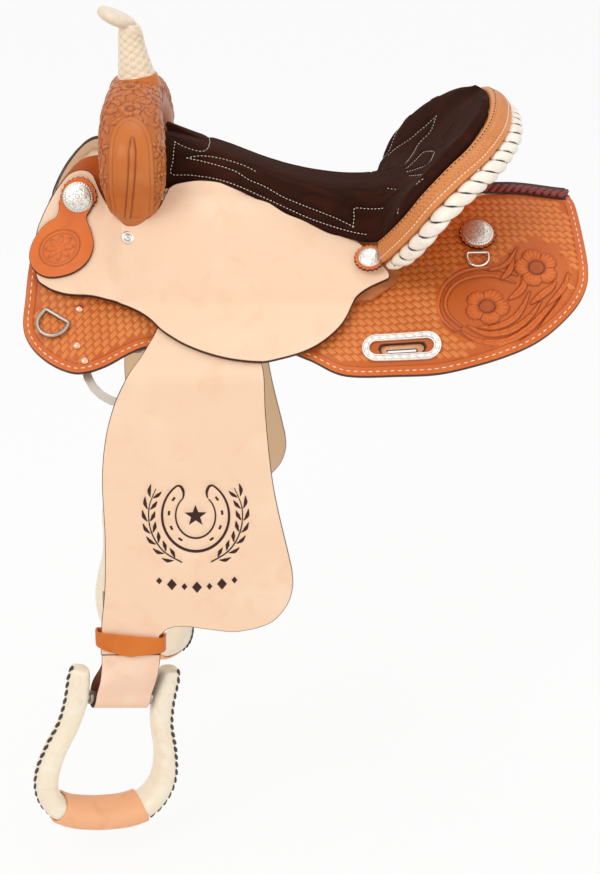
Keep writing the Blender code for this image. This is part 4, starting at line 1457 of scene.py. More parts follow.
def rounded_section(half: float, thick: float, edge: float, steps: int) -> Points:
    """A strap's section as a closed row of x and depth, with rounded edges, from -half to half."""
    a = np.linspace(-math.pi / 2, math.pi / 2, steps)
    reach = min(edge, thick / 2)
    cap = np.stack([half - reach + reach * np.cos(a), thick / 2 * np.sin(a)], axis=1)
    middle = np.linspace(-(half - reach), half - reach, 9)[1:-1]
    low = np.stack([middle, np.full(7, -thick / 2)], axis=1)
    high = np.stack([middle[::-1], np.full(7, thick / 2)], axis=1)
    return np.concatenate([low, cap, high, -cap])


# ---------------------------------------------------------------------------------------------
# The saddle's sub-assemblies
# ---------------------------------------------------------------------------------------------


@dataclass
class TreeParts:
    """The tree and its hardware, which keep the model's own solids."""

    finishes: tuple[tuple[Finish, tuple[str, ...]], ...] = (
        (Finish.WOOD, ("tree_bar", "tree_fork", "tree_cantle")),
        (Finish.STRAP, ("ground_seat",)),
        (Finish.STEEL, ("horn_post", "rigging_ring", "leather_buckle", "stirrup_bolt")),
    )

    def dress(self) -> None:
        """Gives each of these nodes its finish."""
        for finish, prefixes in self.finishes:
            for obj in [o for o in bpy.data.objects if o.name.startswith(prefixes)]:
                for slot in obj.material_slots:
                    slot.material = finish.material()
                LOG.info("%s: the model's own solid", obj.name)


@dataclass
class Horn:
    """The rawhide horn: a braided neck and a smooth cap that leans to the rear."""

    base: tuple[float, float, float] = (-177, 0, 172)
    lean: float = math.radians(8)
    cap_centre: tuple[float, float, float] = (-198, 0, 240)
    cap_tilt: float = math.radians(24)
    cap_radius: float = 22.5
    cap_depth: float = 13.0
    # The neck from swell to cap: height, centre's shift to the rear, radius along and across
    neck: tuple[tuple[float, float, float, float], ...] = (
        (-5, 0, 23.5, 23.5), (2, 0, 22, 22), (10, 0, 20, 20), (30, 0, 16.3, 16),
        (44, 0.5, 14.4, 14.5), (52, 1.6, 13.6, 15), (58, 2.6, 12.6, 16), (63, 3.4, 11, 16),
    )
    braid: float = 9.6

    def build(self) -> None:
        """Makes the neck, the collar round its foot and the cap."""
        stand = Matrix.Translation(self.base) @ Matrix.Rotation(-self.lean, 4, "Y")
        rows, deep = [], []
        angle = turns(96)
        for height, shift, along, across in spline(self.neck,
                                                   np.linspace(0, len(self.neck) - 1, 76)):
            turn = 0.8 * float(ease(44, 63, height)) * (self.cap_tilt + self.lean)
            frame = stand @ Matrix.Translation((shift, 0, height)) @ Matrix.Rotation(turn, 4, "Y")
            # Two sets of strands cross, one climbing each way
            round_, up = angle * 35.2 / self.braid, height / self.braid * math.pi * 1.15
            weave = np.abs(np.cos(round_ + up) * np.cos(round_ - up))
            fade = 1 - float(ease(48, 60, height))
            lift = (0.8 * weave**0.55 - 0.4) * fade
            # Darker where the strands part: painted shade between them
            deep.append((1 - ease(0.0, 0.3, weave)) * 0.3 * fade)
            x, y = (along + lift) * np.cos(angle), (across + lift) * np.sin(angle)
            rows.append(in_frame(frame)(Side.LEFT, x, y, 0 * x))
        obj = loft("horn_neck", np.array(rows), {"deep": np.array(deep)})
        dress(obj, "saddle", Finish.HORN, ["horn_wrap"])
        ring = dense([(19.0, -9), (25.6, -9), (24.6, -2), (23.2, 4.5), (22.4, 5.6), (21.2, 5.2),
                      (20.6, 3.5), (19, -9)], 0.8)
        dress(turned("horn_collar", ring, stand, 80), "saddle", Finish.SWELL)
        half, r = self.cap_depth / 2, self.cap_radius
        a = np.linspace(0, math.pi, 30)
        height = half * np.cos(a)
        radius = (r - 5.5 + 5.5 * np.sin(a) ** 0.8
                  - 5.0 * np.where(height < 0, height / half, 0) ** 2)
        profile = np.concatenate([[[0, half + 0.9], [r * 0.3, half + 0.8], [r * 0.55, half + 0.45]],
                                  np.stack([radius, height], axis=1), [[6, -half], [0, -half]]])
        tilt = Matrix.Translation(self.cap_centre) @ Matrix.Rotation(self.cap_tilt, 4, "Y")
        dress(turned("horn_top", profile, tilt, 72), "saddle", Finish.CAP, ["horn_cap"])


@dataclass
class Swell:
    """The fork's leather: a plain oval pad with a raised keel on each side, leaves above it."""

    steps: int = 340
    across: int = 141
    wrap: float = math.radians(135)
    # The pad's outline as distance to the rear and run down from the crown
    pad: Pairs = (
        (0, 117), (9, 122), (16, 134), (19.5, 152), (20.5, 175), (20, 205), (18.5, 235),
        (16.5, 262), (-16, 262), (-18.5, 235), (-20, 205), (-20, 175), (-19, 152), (-15, 134),
        (-8, 122),
    )
    # Flowers by the same measures, and their radius. Six leaves spread from under each
    blooms: tuple[tuple[float, float, float], ...] = (
        (0, 98, 13), (-30, 74, 11), (27, 68, 11), (-2, 44, 12), (-33, 34, 10), (31, 30, 10),
        (-4, 12, 9), (-40, 112, 10), (37, 106, 10), (-42, 150, 8), (38, 146, 9), (-40, 184, 7),
        (37, 182, 8), (34, 214, 7),
    )
    keel: Pairs = ((2.5, 139), (2, 160), (0, 190), (-3, 225), (-6.5, 264))
    keel_width: float = 7.5
    keel_height: float = 2.0
    # The plain band round the pad, the run from leaves to matting, and the foot
    band: float = 6.0
    matted: Pair = (190, 225)
    foot: float = 264.0
    # How far each foot is drawn in, under the jockey's edge
    tuck: float = 17.0

    def arch(self, t: Points, angle: Points, inset: Points) -> Points:
        """Points of the fork.

        Args:
            t: from -1 at the left foot to 1 at the right foot.
            angle: round the section, 0 outward and growing to the rear.
            inset: depth under the surface, in millimetres.

        Returns:
            The points.
        """
        oy, oz, iy, iz, mid, half = np.moveaxis(spline(ARCH, np.abs(t) * (len(ARCH) - 1)), -1, 0)
        side = np.where(t < 0, -1, 1)
        outer = np.stack([0 * oy, side * oy, oz], axis=-1)
        inner = np.stack([0 * oy, side * iy, iz], axis=-1)
        gap = outer - inner
        reach = np.linalg.norm(gap, axis=-1)
        out = gap / reach[..., None]
        up = boxed(np.cos(angle)) * (reach / 2 - inset) - self.tuck * ease(0.74, 0.92, np.abs(t))
        points = (outer + inner) / 2 + out * up[..., None]
        points[..., 0] += mid + boxed(np.sin(angle)) * (half - inset)
        return points

    def carving(self, p: Points) -> tuple[Points, Points]:
        """Height and tint of the carving at rows of distance to the rear and run down."""
        shapes: list[Flower | Leaf] = []
        for k, (x, v, r) in enumerate(self.blooms):
            for a in np.radians(np.arange(k * 31, k * 31 + 360, 60)):
                way = r * np.array([math.cos(a), math.sin(a)])
                bent = r * np.array([math.cos(a + 0.8), math.sin(a + 0.8)])
                line = np.array([x, v]) + np.array([0.7 * way, 1.5 * way, 1.7 * way + 0.8 * bent])
                shapes.append(Leaf(tuple(map(tuple, line)), r * 0.62, 0.5, 0.15, 4))
        shapes += [Flower((x, v), r, 5, k * 0.7) for k, (x, v, r) in enumerate(self.blooms)]
        height, deep, gap = carve(p, shapes, -0.45)
        lower = ease(*self.matted, p[:, 1])
        # Below the carving the flanks are matted with a small round tool
        matt = np.cos(p[:, 0] * 2.3) * np.cos(p[:, 1] * 2.3 + p[:, 0] * 0.9)
        lower = lower * (gap > 1.5)
        height = height * (1 - lower) + lower * (0.3 * matt - 0.1)
        deep = deep * (1 - lower) + lower * (0.28 - 0.28 * matt)
        outline = smooth_outline(self.pad, 2.0)
        away, within = nearest(p, outline, True)[0], inside(p, outline)
        signed = np.where(within, -away, away)
        # A plain band runs round the pad, set off by cut lines
        frame = signed < self.band
        height = np.where(frame, 0.55 - 0.45 * ease(2, self.band, signed), height)
        deep = np.where(frame, 0.12, deep)
        for place, strength in ((0.0, 0.55), (5.6, 0.7)):
            cut = bell(signed - place, 0.75) * strength
            height -= 1.1 * cut
            deep = np.maximum(deep, cut)
        height = np.where(within, height + 1.2 * ease(0, 9, away), height)
        gap, run, _ = nearest(p, smooth_line(self.keel, 2.0))
        half = self.keel_width / 2 * np.sqrt(np.clip(run * 7, 0, 1)) * (1 - 0.25 * run)
        keel = self.keel_height * np.sqrt(np.maximum(0, 1 - (gap / np.maximum(half, 0.3)) ** 2))
        height += keel * (p[:, 1] < self.foot)
        cut = bell(gap - half, 1.0) * ease(137, 142, p[:, 1])
        return height - 0.7 * cut, np.clip(np.maximum(deep, cut), 0, 1)

    def build(self) -> None:
        """Makes the cover and the lining under the gullet."""
        w = np.linspace(-1, 1, self.across)
        # The columns lie closest over the middle, where the pad and its keel are
        t, angle = np.meshgrid(np.linspace(-1, 1, self.steps), self.wrap * (0.55 * w + 0.45 * w**3),
                               indexing="ij")
        face = self.arch(t, angle, 0 * t)
        step = np.linalg.norm(np.diff(face, axis=1), axis=2)
        run = np.concatenate([np.zeros((self.steps, 1)), np.cumsum(step, axis=1)], axis=1)
        across = run - run[:, self.across // 2 : self.across // 2 + 1]
        crown = self.arch(np.linspace(0, 1, 400), np.zeros(400), np.zeros(400))
        along = np.interp(np.abs(t), np.linspace(0, 1, 400), run_along(crown))
        height, deep = self.carving(np.stack([across, along], axis=-1).reshape(-1, 2))
        height, deep = height.reshape(t.shape), deep.reshape(t.shape)
        margin = np.minimum(1 - np.abs(t), (self.wrap - np.abs(angle)) / 4)
        edge = 1 - ease(0.0, 0.012, margin)
        top = self.arch(t, angle, -height * 0.8 + 0.9 * edge)
        cover = shell("swell_leather", top, self.arch(t, angle, 0 * t + COVER),
                      {"deep": deep, "edge": edge})
        dress(cover, "saddle", Finish.SWELL, ["swell_cover"])
        t, angle = np.meshgrid(np.linspace(-1, 1, 90), np.radians(np.linspace(142, 218, 14)),
                               indexing="ij")
        lining = shell("gullet_lining", self.arch(t, angle, 0 * t),
                       self.arch(t, angle, 0 * t + COVER))
        dress(lining, "saddle", Finish.TAN, ["gullet_cover"])


def seat_point(s: Points, u: Points) -> Points:
    """Points on top of the seat: s counts stations, u runs from side to side, -1 at the left."""
    cx, cz, ex, ey, ez, power = np.moveaxis(spline(SEAT, s), -1, 0)
    share = np.abs(u)
    return np.stack([cx + (ex - cx) * share**2, ey * u, cz + (ez - cz) * share**power], axis=-1)


def seat_normal(s: Points, u: Points) -> Points:
    """Upward directions of the seat."""
    d, last = 0.02, len(SEAT) - 1
    a = seat_point(np.minimum(s + d, last), u) - seat_point(np.maximum(s - d, 0), u)
    b = seat_point(s, np.minimum(u + d, 1)) - seat_point(s, np.maximum(u - d, -1))
    out = unit(np.cross(a, b))
    return out * np.where(out[..., 2:] < 0, -1, 1)


@dataclass
class Seat:
    """The suede seat over foam: dished, with a hand hole behind the swell and sewn lines."""

    rows: int = 270
    columns: int = 64
    # Depth of the sewn channels, swelling inside the rim, and radius of the turned-down edge
    channel: float = 1.3
    swell: float = 10.0
    lip: float = 3.0
    notch: tuple[float, float, float] = (-160, -99, 26)
    # Sewn lines of the left half as places along and across the seat; the right half mirrors them
    lines: tuple[Pairs, ...] = (
        ((0.44, -0.68), (0.40, -0.80), (0.36, -0.90), (0.30, -0.955), (0.8, -0.96), (1.6, -0.96),
         (2.6, -0.96), (3.6, -0.96), (4.6, -0.96), (5.5, -0.96)),
        ((0.44, -0.68), (0.84, -0.69), (1.25, -0.62), (1.40, -0.42), (1.42, -0.2), (1.44, 0.0)),
        ((0.78, -0.835), (1.31, -0.71), (1.83, -0.63), (2.35, -0.58), (2.64, -0.60)),
        ((0.78, -0.835), (1.46, -0.80), (2.15, -0.78), (2.47, -0.82), (2.85, -0.82), (3.29, -0.86),
         (3.83, -0.87), (4.45, -0.89), (5.05, -0.927)),
        ((5.05, -0.927), (5.09, -0.86), (5.12, -0.78), (5.56, -0.77), (6.13, -0.76)),
        ((6.25, -0.46), (6.45, -0.49), (6.6, -0.51)),
        ((7.66, -0.96), (7.85, -0.89), (8.13, -0.89), (9.16, -0.955)),
        ((7.7, -0.85), (8.29, -0.68), (9.07, -0.62), (9.78, -0.60)),
        ((7.16, -0.26), (8.18, -0.48), (9.01, -0.49), (9.78, -0.60)),
        ((7.06, 0.07), (7.56, 0.16), (8.07, 0.21), (8.42, 0.02)),
    )
    thread: Seam = Seam(4.0, 2.9, 0.9, 0.8, Finish.CREAM_THREAD)

    def padding(self, s: Points, u: Points) -> Points:
        """How much the padding swells the suede inside the cantle's rim."""
        share = np.abs(u)
        along = ease(6.0, 8.8, s) * (1 - 0.5 * ease(11.3, 13, s))
        return self.swell * along * ease(0.4, 0.88, share) * (1 - 0.7 * ease(0.94, 1.0, share))

    def notch_edge(self, x: Points) -> Points:
        """Half width of the hand hole at x."""
        front, tip, half = self.notch
        return np.maximum(0, half * (tip - x) / (tip - front))

    def grid(self, rows: int, columns: int, s0: float, s1: float, reach: float,
             front: float) -> tuple[Points, Points, Points]:
        """Places over both halves of the seat.

        Args:
            rows: steps from the front to the rear.
            columns: steps over each half.
            s0: first station.
            s1: last station.
            reach: share of the half width that is covered.
            front: extra clearance round the hand hole, in millimetres.

        Returns:
            Stations, shares across, and for each row whether the hand hole parts it.
        """
        s = np.linspace(s0, s1, rows)
        middle = seat_point(s, 0 * s)
        width = seat_point(s, 0 * s + 1)[:, 1]
        gap = self.notch_edge(middle[:, 0])
        gap = np.where(gap > 0, gap + front, 0) / width
        t = np.linspace(0, 1, columns)
        share = gap[:, None] + (reach - gap[:, None]) * (1 - (1 - t[None]) ** 1.15)
        across = np.concatenate([-share[:, ::-1], share], axis=1)
        return np.repeat(s[:, None], 2 * columns, axis=1), across, gap > 0

    def layer(self, name: str, s: Points, u: Points, parted: Points, top: Points, low: Points,
              tints: Tints) -> Piece:
        """A layer of the seat, closed round its edge and round the hand hole.

        Args:
            name: the piece's name.
            s: stations of its points.
            u: shares across.
            parted: for each row, whether the hand hole parts it.
            top: depth of its face under the seat's top.
            low: depth of its back.
            tints: numbers for each point.

        Returns:
            The object.
        """
        at, out = seat_point(s, u), seat_normal(s, u)
        rows, wide = s.shape
        points = np.concatenate([(at - out * depth[..., None]).reshape(-1, 3)
                                 for depth in (top, low)])
        count, half = rows * wide, wide // 2
        faces = []
        for i in range(rows - 1):
            open_middle = parted[i] or parted[i + 1]
            for j in (j for j in range(wide - 1) if j != half - 1):
                a, b = i * wide + j, (i + 1) * wide + j
                faces += [(a, a + 1, b + 1, b),
                          (a + count, b + count, b + 1 + count, a + 1 + count)]
            ends = [0, wide - 1] + ([half - 1, half] if open_middle else [])
            for j in ends:
                a, b = i * wide + j, (i + 1) * wide + j
                faces.append((a, b, b + count, a + count))
        for j in range(wide - 1):
            for i in (0, rows - 1):
                if not (j == half - 1 and (i or parted[0])):
                    a = i * wide + j
                    faces.append((a, a + 1, a + 1 + count, a + count))
        flat = {key: np.tile(value.reshape(-1), 2) for key, value in tints.items()}
        return face_out(mesh_object(name, points, faces, flat), 0.02)

    def build(self) -> None:
        """Makes the suede cover, its foam, the hand hole's rolled edge and the stitches."""
        last = len(SEAT) - 1.0
        s, u, parted = self.grid(self.rows, self.columns, 0, last, 1.0, 0)
        flat = seat_point(s, u).reshape(-1, 3)
        dent = np.full(len(flat), 99.0)
        seams = []
        for line in self.lines:
            for mirror in (1, -1):
                at, across = smooth_line([(a, b * mirror) for a, b in line], 0.05).T
                run, out = seat_point(at, across), seat_normal(at, across)
                lift = self.padding(at, across) - self.channel + 0.5
                seams.append((run + out * lift[:, None], out))
                low, high = run.min(0) - 12, run.max(0) + 12
                close = np.flatnonzero(((flat > low) & (flat < high)).all(1))
                dent[close] = np.minimum(dent[close], nearest(flat[close], run)[0])
        dent = dent.reshape(s.shape)
        x, y = flat[:, 0].reshape(s.shape), flat[:, 1].reshape(s.shape)
        # Soft folds run along the flanks where the seat is deepest
        fold = np.sin(y * 0.42 + 2.2 * np.sin(x * 0.034) + 0.9 * np.sin(x * 0.11 + y * 0.05))
        deepest = bell(x - 35, 75) * ease(0.35, 0.8, np.abs(u))
        depth = self.channel * bell(dent, 1.7) - 0.9 * ease(0, 9, dent)
        depth = (depth * (dent < 60) + 0.75 * deepest * fold * ease(1.5, 7, dent)
                 - self.padding(s, u))
        # Millimetres to the cover's edge, which is turned down
        margin = np.minimum((1 - np.abs(u)) * 70, np.minimum(s, last - s) * 30)
        depth += 2.0 * (1 - np.sqrt(1 - (1 - np.clip(margin / self.lip, 0, 1)) ** 2))
        # Darker along the sewn channels and in the troughs of the folds: painted shade
        tints = {"deep": np.clip(bell(dent, 1.5) * 0.8 + 0.3 * deepest * (fold < -0.3), 0, 1)}
        cover = self.layer("seat_suede", s, u, parted, depth, 0 * s + COVER + 0.4, tints)
        dress(cover, "saddle", Finish.SUEDE, ["seat_cover"])
        s, u, parted = self.grid(60, 16, 0.65, last - 1.3, 0.95, 2.5)
        foam = self.layer("seat_foam", s, u, parted, 0 * s + COVER + 0.9,
                          0 * s + COVER + 0.9 + FOAM, {})
        dress(foam, "saddle", Finish.FOAM, ["seat_padding"])
        dress(self.thread.lay("seat_stitches", seams), "saddle")
        self.rolled_edge()

    def rolled_edge(self) -> None:
        """Makes the roll of suede round the hand hole."""
        half = []
        for x in np.linspace(-141, self.notch[1] - 2, 26):
            y = float(self.notch_edge(x))
            s = np.interp(x, [row[0] for row in SEAT], range(len(SEAT)))
            width = float(seat_point(np.array(s), np.array(1.0))[1])
            at = seat_point(np.array(s), np.array(y / width))
            half.append((x, y, at[2] - 1.6))
        path = np.array([(x, -y, z) for x, y, z in half] + [(x, y, z) for x, y, z in half[::-1]])
        roll = tube("hand_hole_roll", smooth_line(path, 2.5), 2.7)
        dress(roll, "saddle", Finish.SUEDE)


@dataclass
class Cantle:
    """The cantle's rim: a tooled roll, sewn on both sides, and a rawhide binding laced round it."""

    band: Pairs = (
        (4.4, -1), (4.9, 1.6), (7, 3.2), (10, 3.7), (14, 3.8), (18, 3.7), (22, 3.0), (26, 1.5),
        (28.4, -0.4), (29, -2.4), (27.4, -6), (22, -5.4), (18, -5), (10, -5.5), (5, -6),
    )
    binding_centre: Pair = (36.0, -11.5)
    binding_radii: Pair = (11.0, 8.5)
    # Length of one turn of hide along the rim, how far it leans, and the length of each tapered end
    lobe: float = 17.0
    aslant: float = 6.5
    taper: float = 42.0
    # Rows of stitches: name, distance outward, height and thread
    seams: tuple[tuple[str, float, float, Seam], ...] = (
        ("inner", 8.6, 3.5, Seam(6.0, 3.9, 1.7, 1.2, Finish.DARK_THREAD)),
        ("outer", 25.2, 1.9, Seam(5.0, 3.3, 1.3, 1.0, Finish.CREAM_THREAD)),
    )

    def frames(self, count: int) -> tuple[Points, Points, Points, Points]:
        """Points round the rim, left corner to right, with outward and upward directions.

        Args:
            count: how many.

        Returns:
            The points, outward and upward directions, and the run along the rim in millimetres.
        """
        half = [(91, 98, 17), *(station[2:5] for station in SEAT[7:]), (213, 0, 158.5)]
        rim = np.array([(x, -y, z) for x, y, z in half] + half[-2::-1], float)
        last = len(rim) - 1
        s = np.linspace(0, last, count)
        at = spline(rim, s)
        ahead = unit(spline(rim, np.minimum(s + 0.1, last)) - spline(rim, np.maximum(s - 0.1, 0)))
        # Outward from a point in the seat's middle, and a little down
        away = unit(unit(np.stack([at[:, 0] - 70, at[:, 1], 0 * s], axis=1))
                    - np.array([0, 0, 0.45]))
        away = unit(away - ahead * (away * ahead).sum(1, keepdims=True))
        up = np.cross(ahead, away)
        up *= np.sign((up * np.array([-0.4, 0, 1])).sum(1, keepdims=True))
        return at, away, up, run_along(at)

    def build(self) -> None:
        """Makes the roll, binding, back and stitching."""
        at, away, up, run = self.frames(520)
        section = smooth_outline(self.band, 1.1)
        rows = (at[:, None] + away[:, None] * section[None, :, :1]
                + up[:, None] * section[None, :, 1:])
        place, high = section[:, 0], section[:, 1]
        # Matted ground with small curled cuts between the two rows of stitches
        wave = (np.cos(run[:, None] * 1.45 + 2 * np.sin(place[None] * 0.8))
                * np.cos(place[None] * 1.7))
        face = ((high[None] > 0.5) * ease(11.4, 12.6, place)[None]
                * (1 - ease(20.8, 22.2, place))[None])
        rows = rows + up[:, None] * (0.35 * wave * face)[..., None]
        line = (bell(place - 11.0, 0.6) + bell(place - 22.8, 0.6)) * (high > 0.5)
        rows = rows - up[:, None] * (0.5 * line)[None, :, None]
        deep = np.clip(0.5 * (wave < -0.25) * face + 0.55 * line, 0, 1)
        roll = loft("cantle_leather", rows, {"deep": deep})
        dress(roll, "saddle", Finish.BAND, ["cantle_roll"])
        for name, across, lift, seam in self.seams:
            line = at + away * across + up * lift
            dress(seam.lay(f"cantle_{name}_stitches", [(line, up)]), "saddle")
        welt = tube("cantle_welt", at + away * 28.7 + up * -0.9, 1.3, steps=8)
        dress(welt, "saddle", Finish.BAND)
        self.binding()
        self.back()

    def binding(self) -> None:
        """Makes the rawhide binding's plump turns and the dark lace in each valley."""
        at, away, up, run = self.frames(900)
        a, total = turns(40), run[-1]
        # Each turn of hide lies aslant, so that its valley moves along the rim round the section
        phase = (run[:, None] + self.aslant * np.sin(a[None] - 0.6)) / self.lobe
        lobe = np.abs(np.sin(math.pi * phase))
        taper = np.sqrt(ease(0, self.taper, np.minimum(run, total - run)))[:, None]
        size = (0.74 + 0.32 * lobe**0.5) * (0.35 + 0.65 * taper)
        cx, cy = self.binding_centre
        rx, ry = self.binding_radii
        x, y = (cx - 3.0 * (1 - taper) + rx * size * np.cos(a),
                cy + 3.0 * (1 - taper) + ry * size * np.sin(a))
        rows = at[:, None] + away[:, None] * x[..., None] + up[:, None] * y[..., None]
        # Darker in the valley between two turns: painted shade
        deep = np.clip((1 - ease(0.0, 0.22, lobe)) * 0.9, 0, 1) * np.ones_like(x)
        rope = loft("cantle_rawhide", rows, {"deep": deep})
        dress(rope, "saddle", Finish.BINDING, ["cantle_binding"])
        # The lace shows over the upper part of the section and thins out at both ends
        turn = np.radians(np.linspace(28, 92, 12))
        thickness = np.interp(turn, [0.4, 1.0, 1.7], [0.4, 1.25, 0.5])
        strands = []
        for k in range(1, int(total / self.lobe)):
            where = k * self.lobe - self.aslant * np.sin(turn - 0.6)
            near_end = min(where.mean(), total - where.mean())
            keep = 0.35 + 0.65 * math.sqrt(float(ease(0, self.taper, near_end)))
            mid, out, top = (np.stack([np.interp(where, run, column) for column in part.T], axis=1)
                             for part in (at, away, up))
            x, y = cx + 0.80 * rx * keep * np.cos(turn), cy + 0.84 * ry * keep * np.sin(turn)
            strands.append(tube(f"strand_{k}", mid + out * x[:, None] + top * y[:, None], thickness,
                                steps=6))
        dress(join("cantle_lace", strands), "saddle", Finish.BROWN_LACE)

    def back(self) -> None:
        """Makes the leather on the cantle's back."""
        last = len(SEAT) - 1.0
        s, u = np.meshgrid(np.linspace(7.6, last - 1.4, 50), np.linspace(-0.93, 0.93, 60),
                           indexing="ij")
        at, out = seat_point(s, u), seat_normal(s, u)
        under = COVER + FOAM + 15
        obj = shell("cantle_back_leather", at - out * (under + COVER), at - out * under)
        dress(obj, "saddle", Finish.TAN, ["cantle_back"])


@dataclass
class Skirt:
    """One side's skirt: basket stamped, with carved flowers, a sewn plain border and its fleece."""

    side: Side
    # Distances from the edge: the plain border, and the line of stitches in it
    border: float = 11.5
    sewn: float = 5.6
    element: Pair = (13.0, 6.2)
    rear_slant: float = math.radians(44)
    front_slant: float = math.radians(-52)
    # The cinch slot: lowest and highest x, middle v, half width
    slot: tuple[float, float, float, float] = (89, 137, 179, 6)
    rivets: Pairs = ((-242, 127), (-243, 173), (-234, 192))
    # The carved part of the rear skirt, as x and v
    patch: Pairs = (
        (152, 132), (157, 108), (172, 90), (192, 80), (214, 77), (232, 66), (244, 52), (262, 47),
        (282, 50), (296, 62), (303, 82), (301, 104), (294, 124), (279, 148), (256, 168), (228, 181),
        (200, 181), (172, 168), (157, 152),
    )
    thread: Seam = Seam(8.0, 5.6, 1.25, 1.0, Finish.CREAM_THREAD)
    # The edge is uncovered below this v, behind this x, and in front of this x
    uncovered: tuple[float, float, float] = (34, 308, -262)

    def is_free(self, p: Points) -> Points:
        """Which points along the skirt's edge are uncovered."""
        low, rear, front = self.uncovered
        return (p[:, 1] > low) | (p[:, 0] > rear) | (p[:, 0] < front)

    def free_edge(self) -> Points:
        """Its edge from the front over the bottom to the rear corner; the rest is covered."""
        line = smooth_outline(SKIRT_OUTLINE, 2.5)
        free = np.flatnonzero(self.is_free(line))
        return line[free[0] : free[-1] + 1]

    def carved_shapes(self) -> list[Flower | Leaf]:
        """The flowers, scrolls and leaves, from the back to the front."""
        return [
            Leaf(((171, 163), (158, 148), (154, 128), (163, 104), (184, 89), (214, 85), (243, 94)),
                 4.2, 0.5, 0.55),
            Leaf(((178, 158), (165, 143), (162, 126), (171, 108), (188, 98), (214, 95), (240, 104)),
                 3.6, 0.5, 0.55),
            Leaf(((176, 163), (196, 176), (226, 177), (252, 162), (272, 141), (291, 118)), 8.5, 0.5,
                 0.12, 11),
            Leaf(((184, 158), (206, 168), (232, 164), (254, 148), (268, 128)), 7.5, 0.45, 0.12, 9),
            Leaf(((196, 160), (216, 160), (236, 150), (248, 134), (256, 116)), 7, 0.45, 0.12, 8),
            Leaf(((262, 164), (278, 146), (290, 130), (299, 104)), 6.5, 0.45, 0.12, 8),
            Leaf(((232, 126), (243, 118), (250, 108), (250, 96)), 8, 0.5, 0.2, 6),
            Leaf(((226, 100), (236, 88), (240, 74), (238, 66)), 6.5, 0.4, 0.15, 6),
            Leaf(((256, 132), (270, 120), (280, 112), (286, 104)), 8, 0.5, 0.15, 7),
            Leaf(((212, 88), (226, 84), (236, 76), (246, 58)), 5, 0.4, 0.15, 5),
            Leaf(((274, 134), (286, 122), (296, 108), (301, 92)), 6, 0.5, 0.2, 6),
            Flower((207.5, 134.5), 24.5, 5, 0.5, 0.9),
            Flower((266, 85), 24.5, 5, 1.2, 1.0),
        ]

    def relief(self, p: Points, away: Points) -> tuple[Points, Tints]:
        """Tooling of the skirt's face.

        Args:
            p: rows of x and v.
            away: their distance from the edge.

        Returns:
            The lift in millimetres and the tints by name.
        """
        patch = smooth_outline(self.patch, 2)
        gap = nearest(p, patch, True)[0]
        within = inside(p, patch)
        lift, deep = np.zeros(len(p)), np.zeros(len(p))
        high, tint, _ = carve(p[within], self.carved_shapes(), -0.5)
        lift[within], deep[within] = high * 1.5, tint
        fade = ease(0, 1.2, gap) * within
        lift, deep = lift * fade, deep * fade
        # A cut line sets the border off
        away = nearest(p, self.free_edge())[0]
        line = bell(away - self.border, 0.45)
        stamped = (away > self.border) & ~within
        lift = lift - 0.7 * line * (gap > 1) - 0.35 * stamped
        deep = np.maximum(deep, np.maximum(0.85 * line, 0.12 * (away < self.border)))
        deep = np.where(stamped & (away > self.border + 0.8), np.maximum(deep, 0.3), deep)
        return lift, {"deep": np.clip(deep, 0, 1)}

    def build(self) -> None:
        """Makes the skirt and everything sewn, stamped or riveted to it."""
        outline = smooth_outline(SKIRT_OUTLINE, 2.5)
        fine = points_within(smooth_outline(self.patch, 2), 0.95, (150, 44), (306, 184))
        fine = fine[nearest(fine, outline, True)[0] > self.border + 2]
        cut = tuple(self.border + off for off in (-0.9, -0.35, 0, 0.35, 0.9))
        panel = Panel("skirt_leather", outline, level(0), level(SKIRT), on_side, 6.5, 1.3, cut,
                      self.relief, [fine], [stadium(*self.slot, 15, 3)])
        dress(panel.build(self.side), "saddle", Finish.TAN,
              [f"skirt_{self.side.word}"])
        edge = inset(outline, self.sewn)
        edge = np.concatenate([edge, edge[:1]])
        line, face, _ = surface_vectors(self.side, edge, level(SKIRT))
        line, free = line - 0.1 * face, self.is_free(edge)
        keep = [i for i in range(len(line) - 1)
                if free[i] and np.linalg.norm(line[i + 1] - line[i]) < 12]
        stitches = self.thread.lay(f"skirt_stitches_{self.side.word}", split_line(line, face, keep))
        dress(stitches, "saddle")
        self.basket(outline)
        self.fleece()
        self.riveted()
        self.slot_lining()

    def slot_lining(self) -> None:
        """Makes the hide sewn behind the cinch slot, slit for the strap."""
        x0, x1, middle, _ = self.slot
        outline, slit = (stadium(x0 - 7, x1 + 7, middle, 13, 18, 2),
                         stadium(x0 + 8, x1 - 8, middle, 1.5, 18, 2))
        panel = Panel("slot_lining", outline, level(-3.4), level(-1.4), on_side, 4, 0.6,
                      holes=[slit], burn=0.2)
        dress(panel.build(self.side), "saddle", Finish.CHAP)

    def element_shape(self) -> Piece:
        """One stamped basket element: two strands that bulge and dip at their ends."""
        long, tall = self.element
        wide, down = 7, 5
        a, b = (grid.reshape(-1)
                for grid in np.meshgrid(np.linspace(-1, 1, wide), np.linspace(-1, 1, down)))
        x, y = (a + 0.12 * b) * long * 0.49, b * tall * 0.48 * (1 - 0.12 * np.abs(a) ** 6)
        edge = np.maximum(np.abs(a), np.abs(b)) ** 3
        z = -0.42 + 0.85 * (1 - edge) + 0.5 * (1 - a * a) - 0.3 * (b == 0)
        deep = np.where(edge > 0.99, 0.45, 0.3 * np.abs(a) ** 4 + 0.18 * (b == 0))
        faces = [(k, k + 1, k + 1 + wide, k + wide)
                 for k in range(wide * (down - 1)) if k % wide < wide - 1]
        return mesh_object("basket_element", np.stack([x, y, z], axis=1), faces, {"deep": deep})

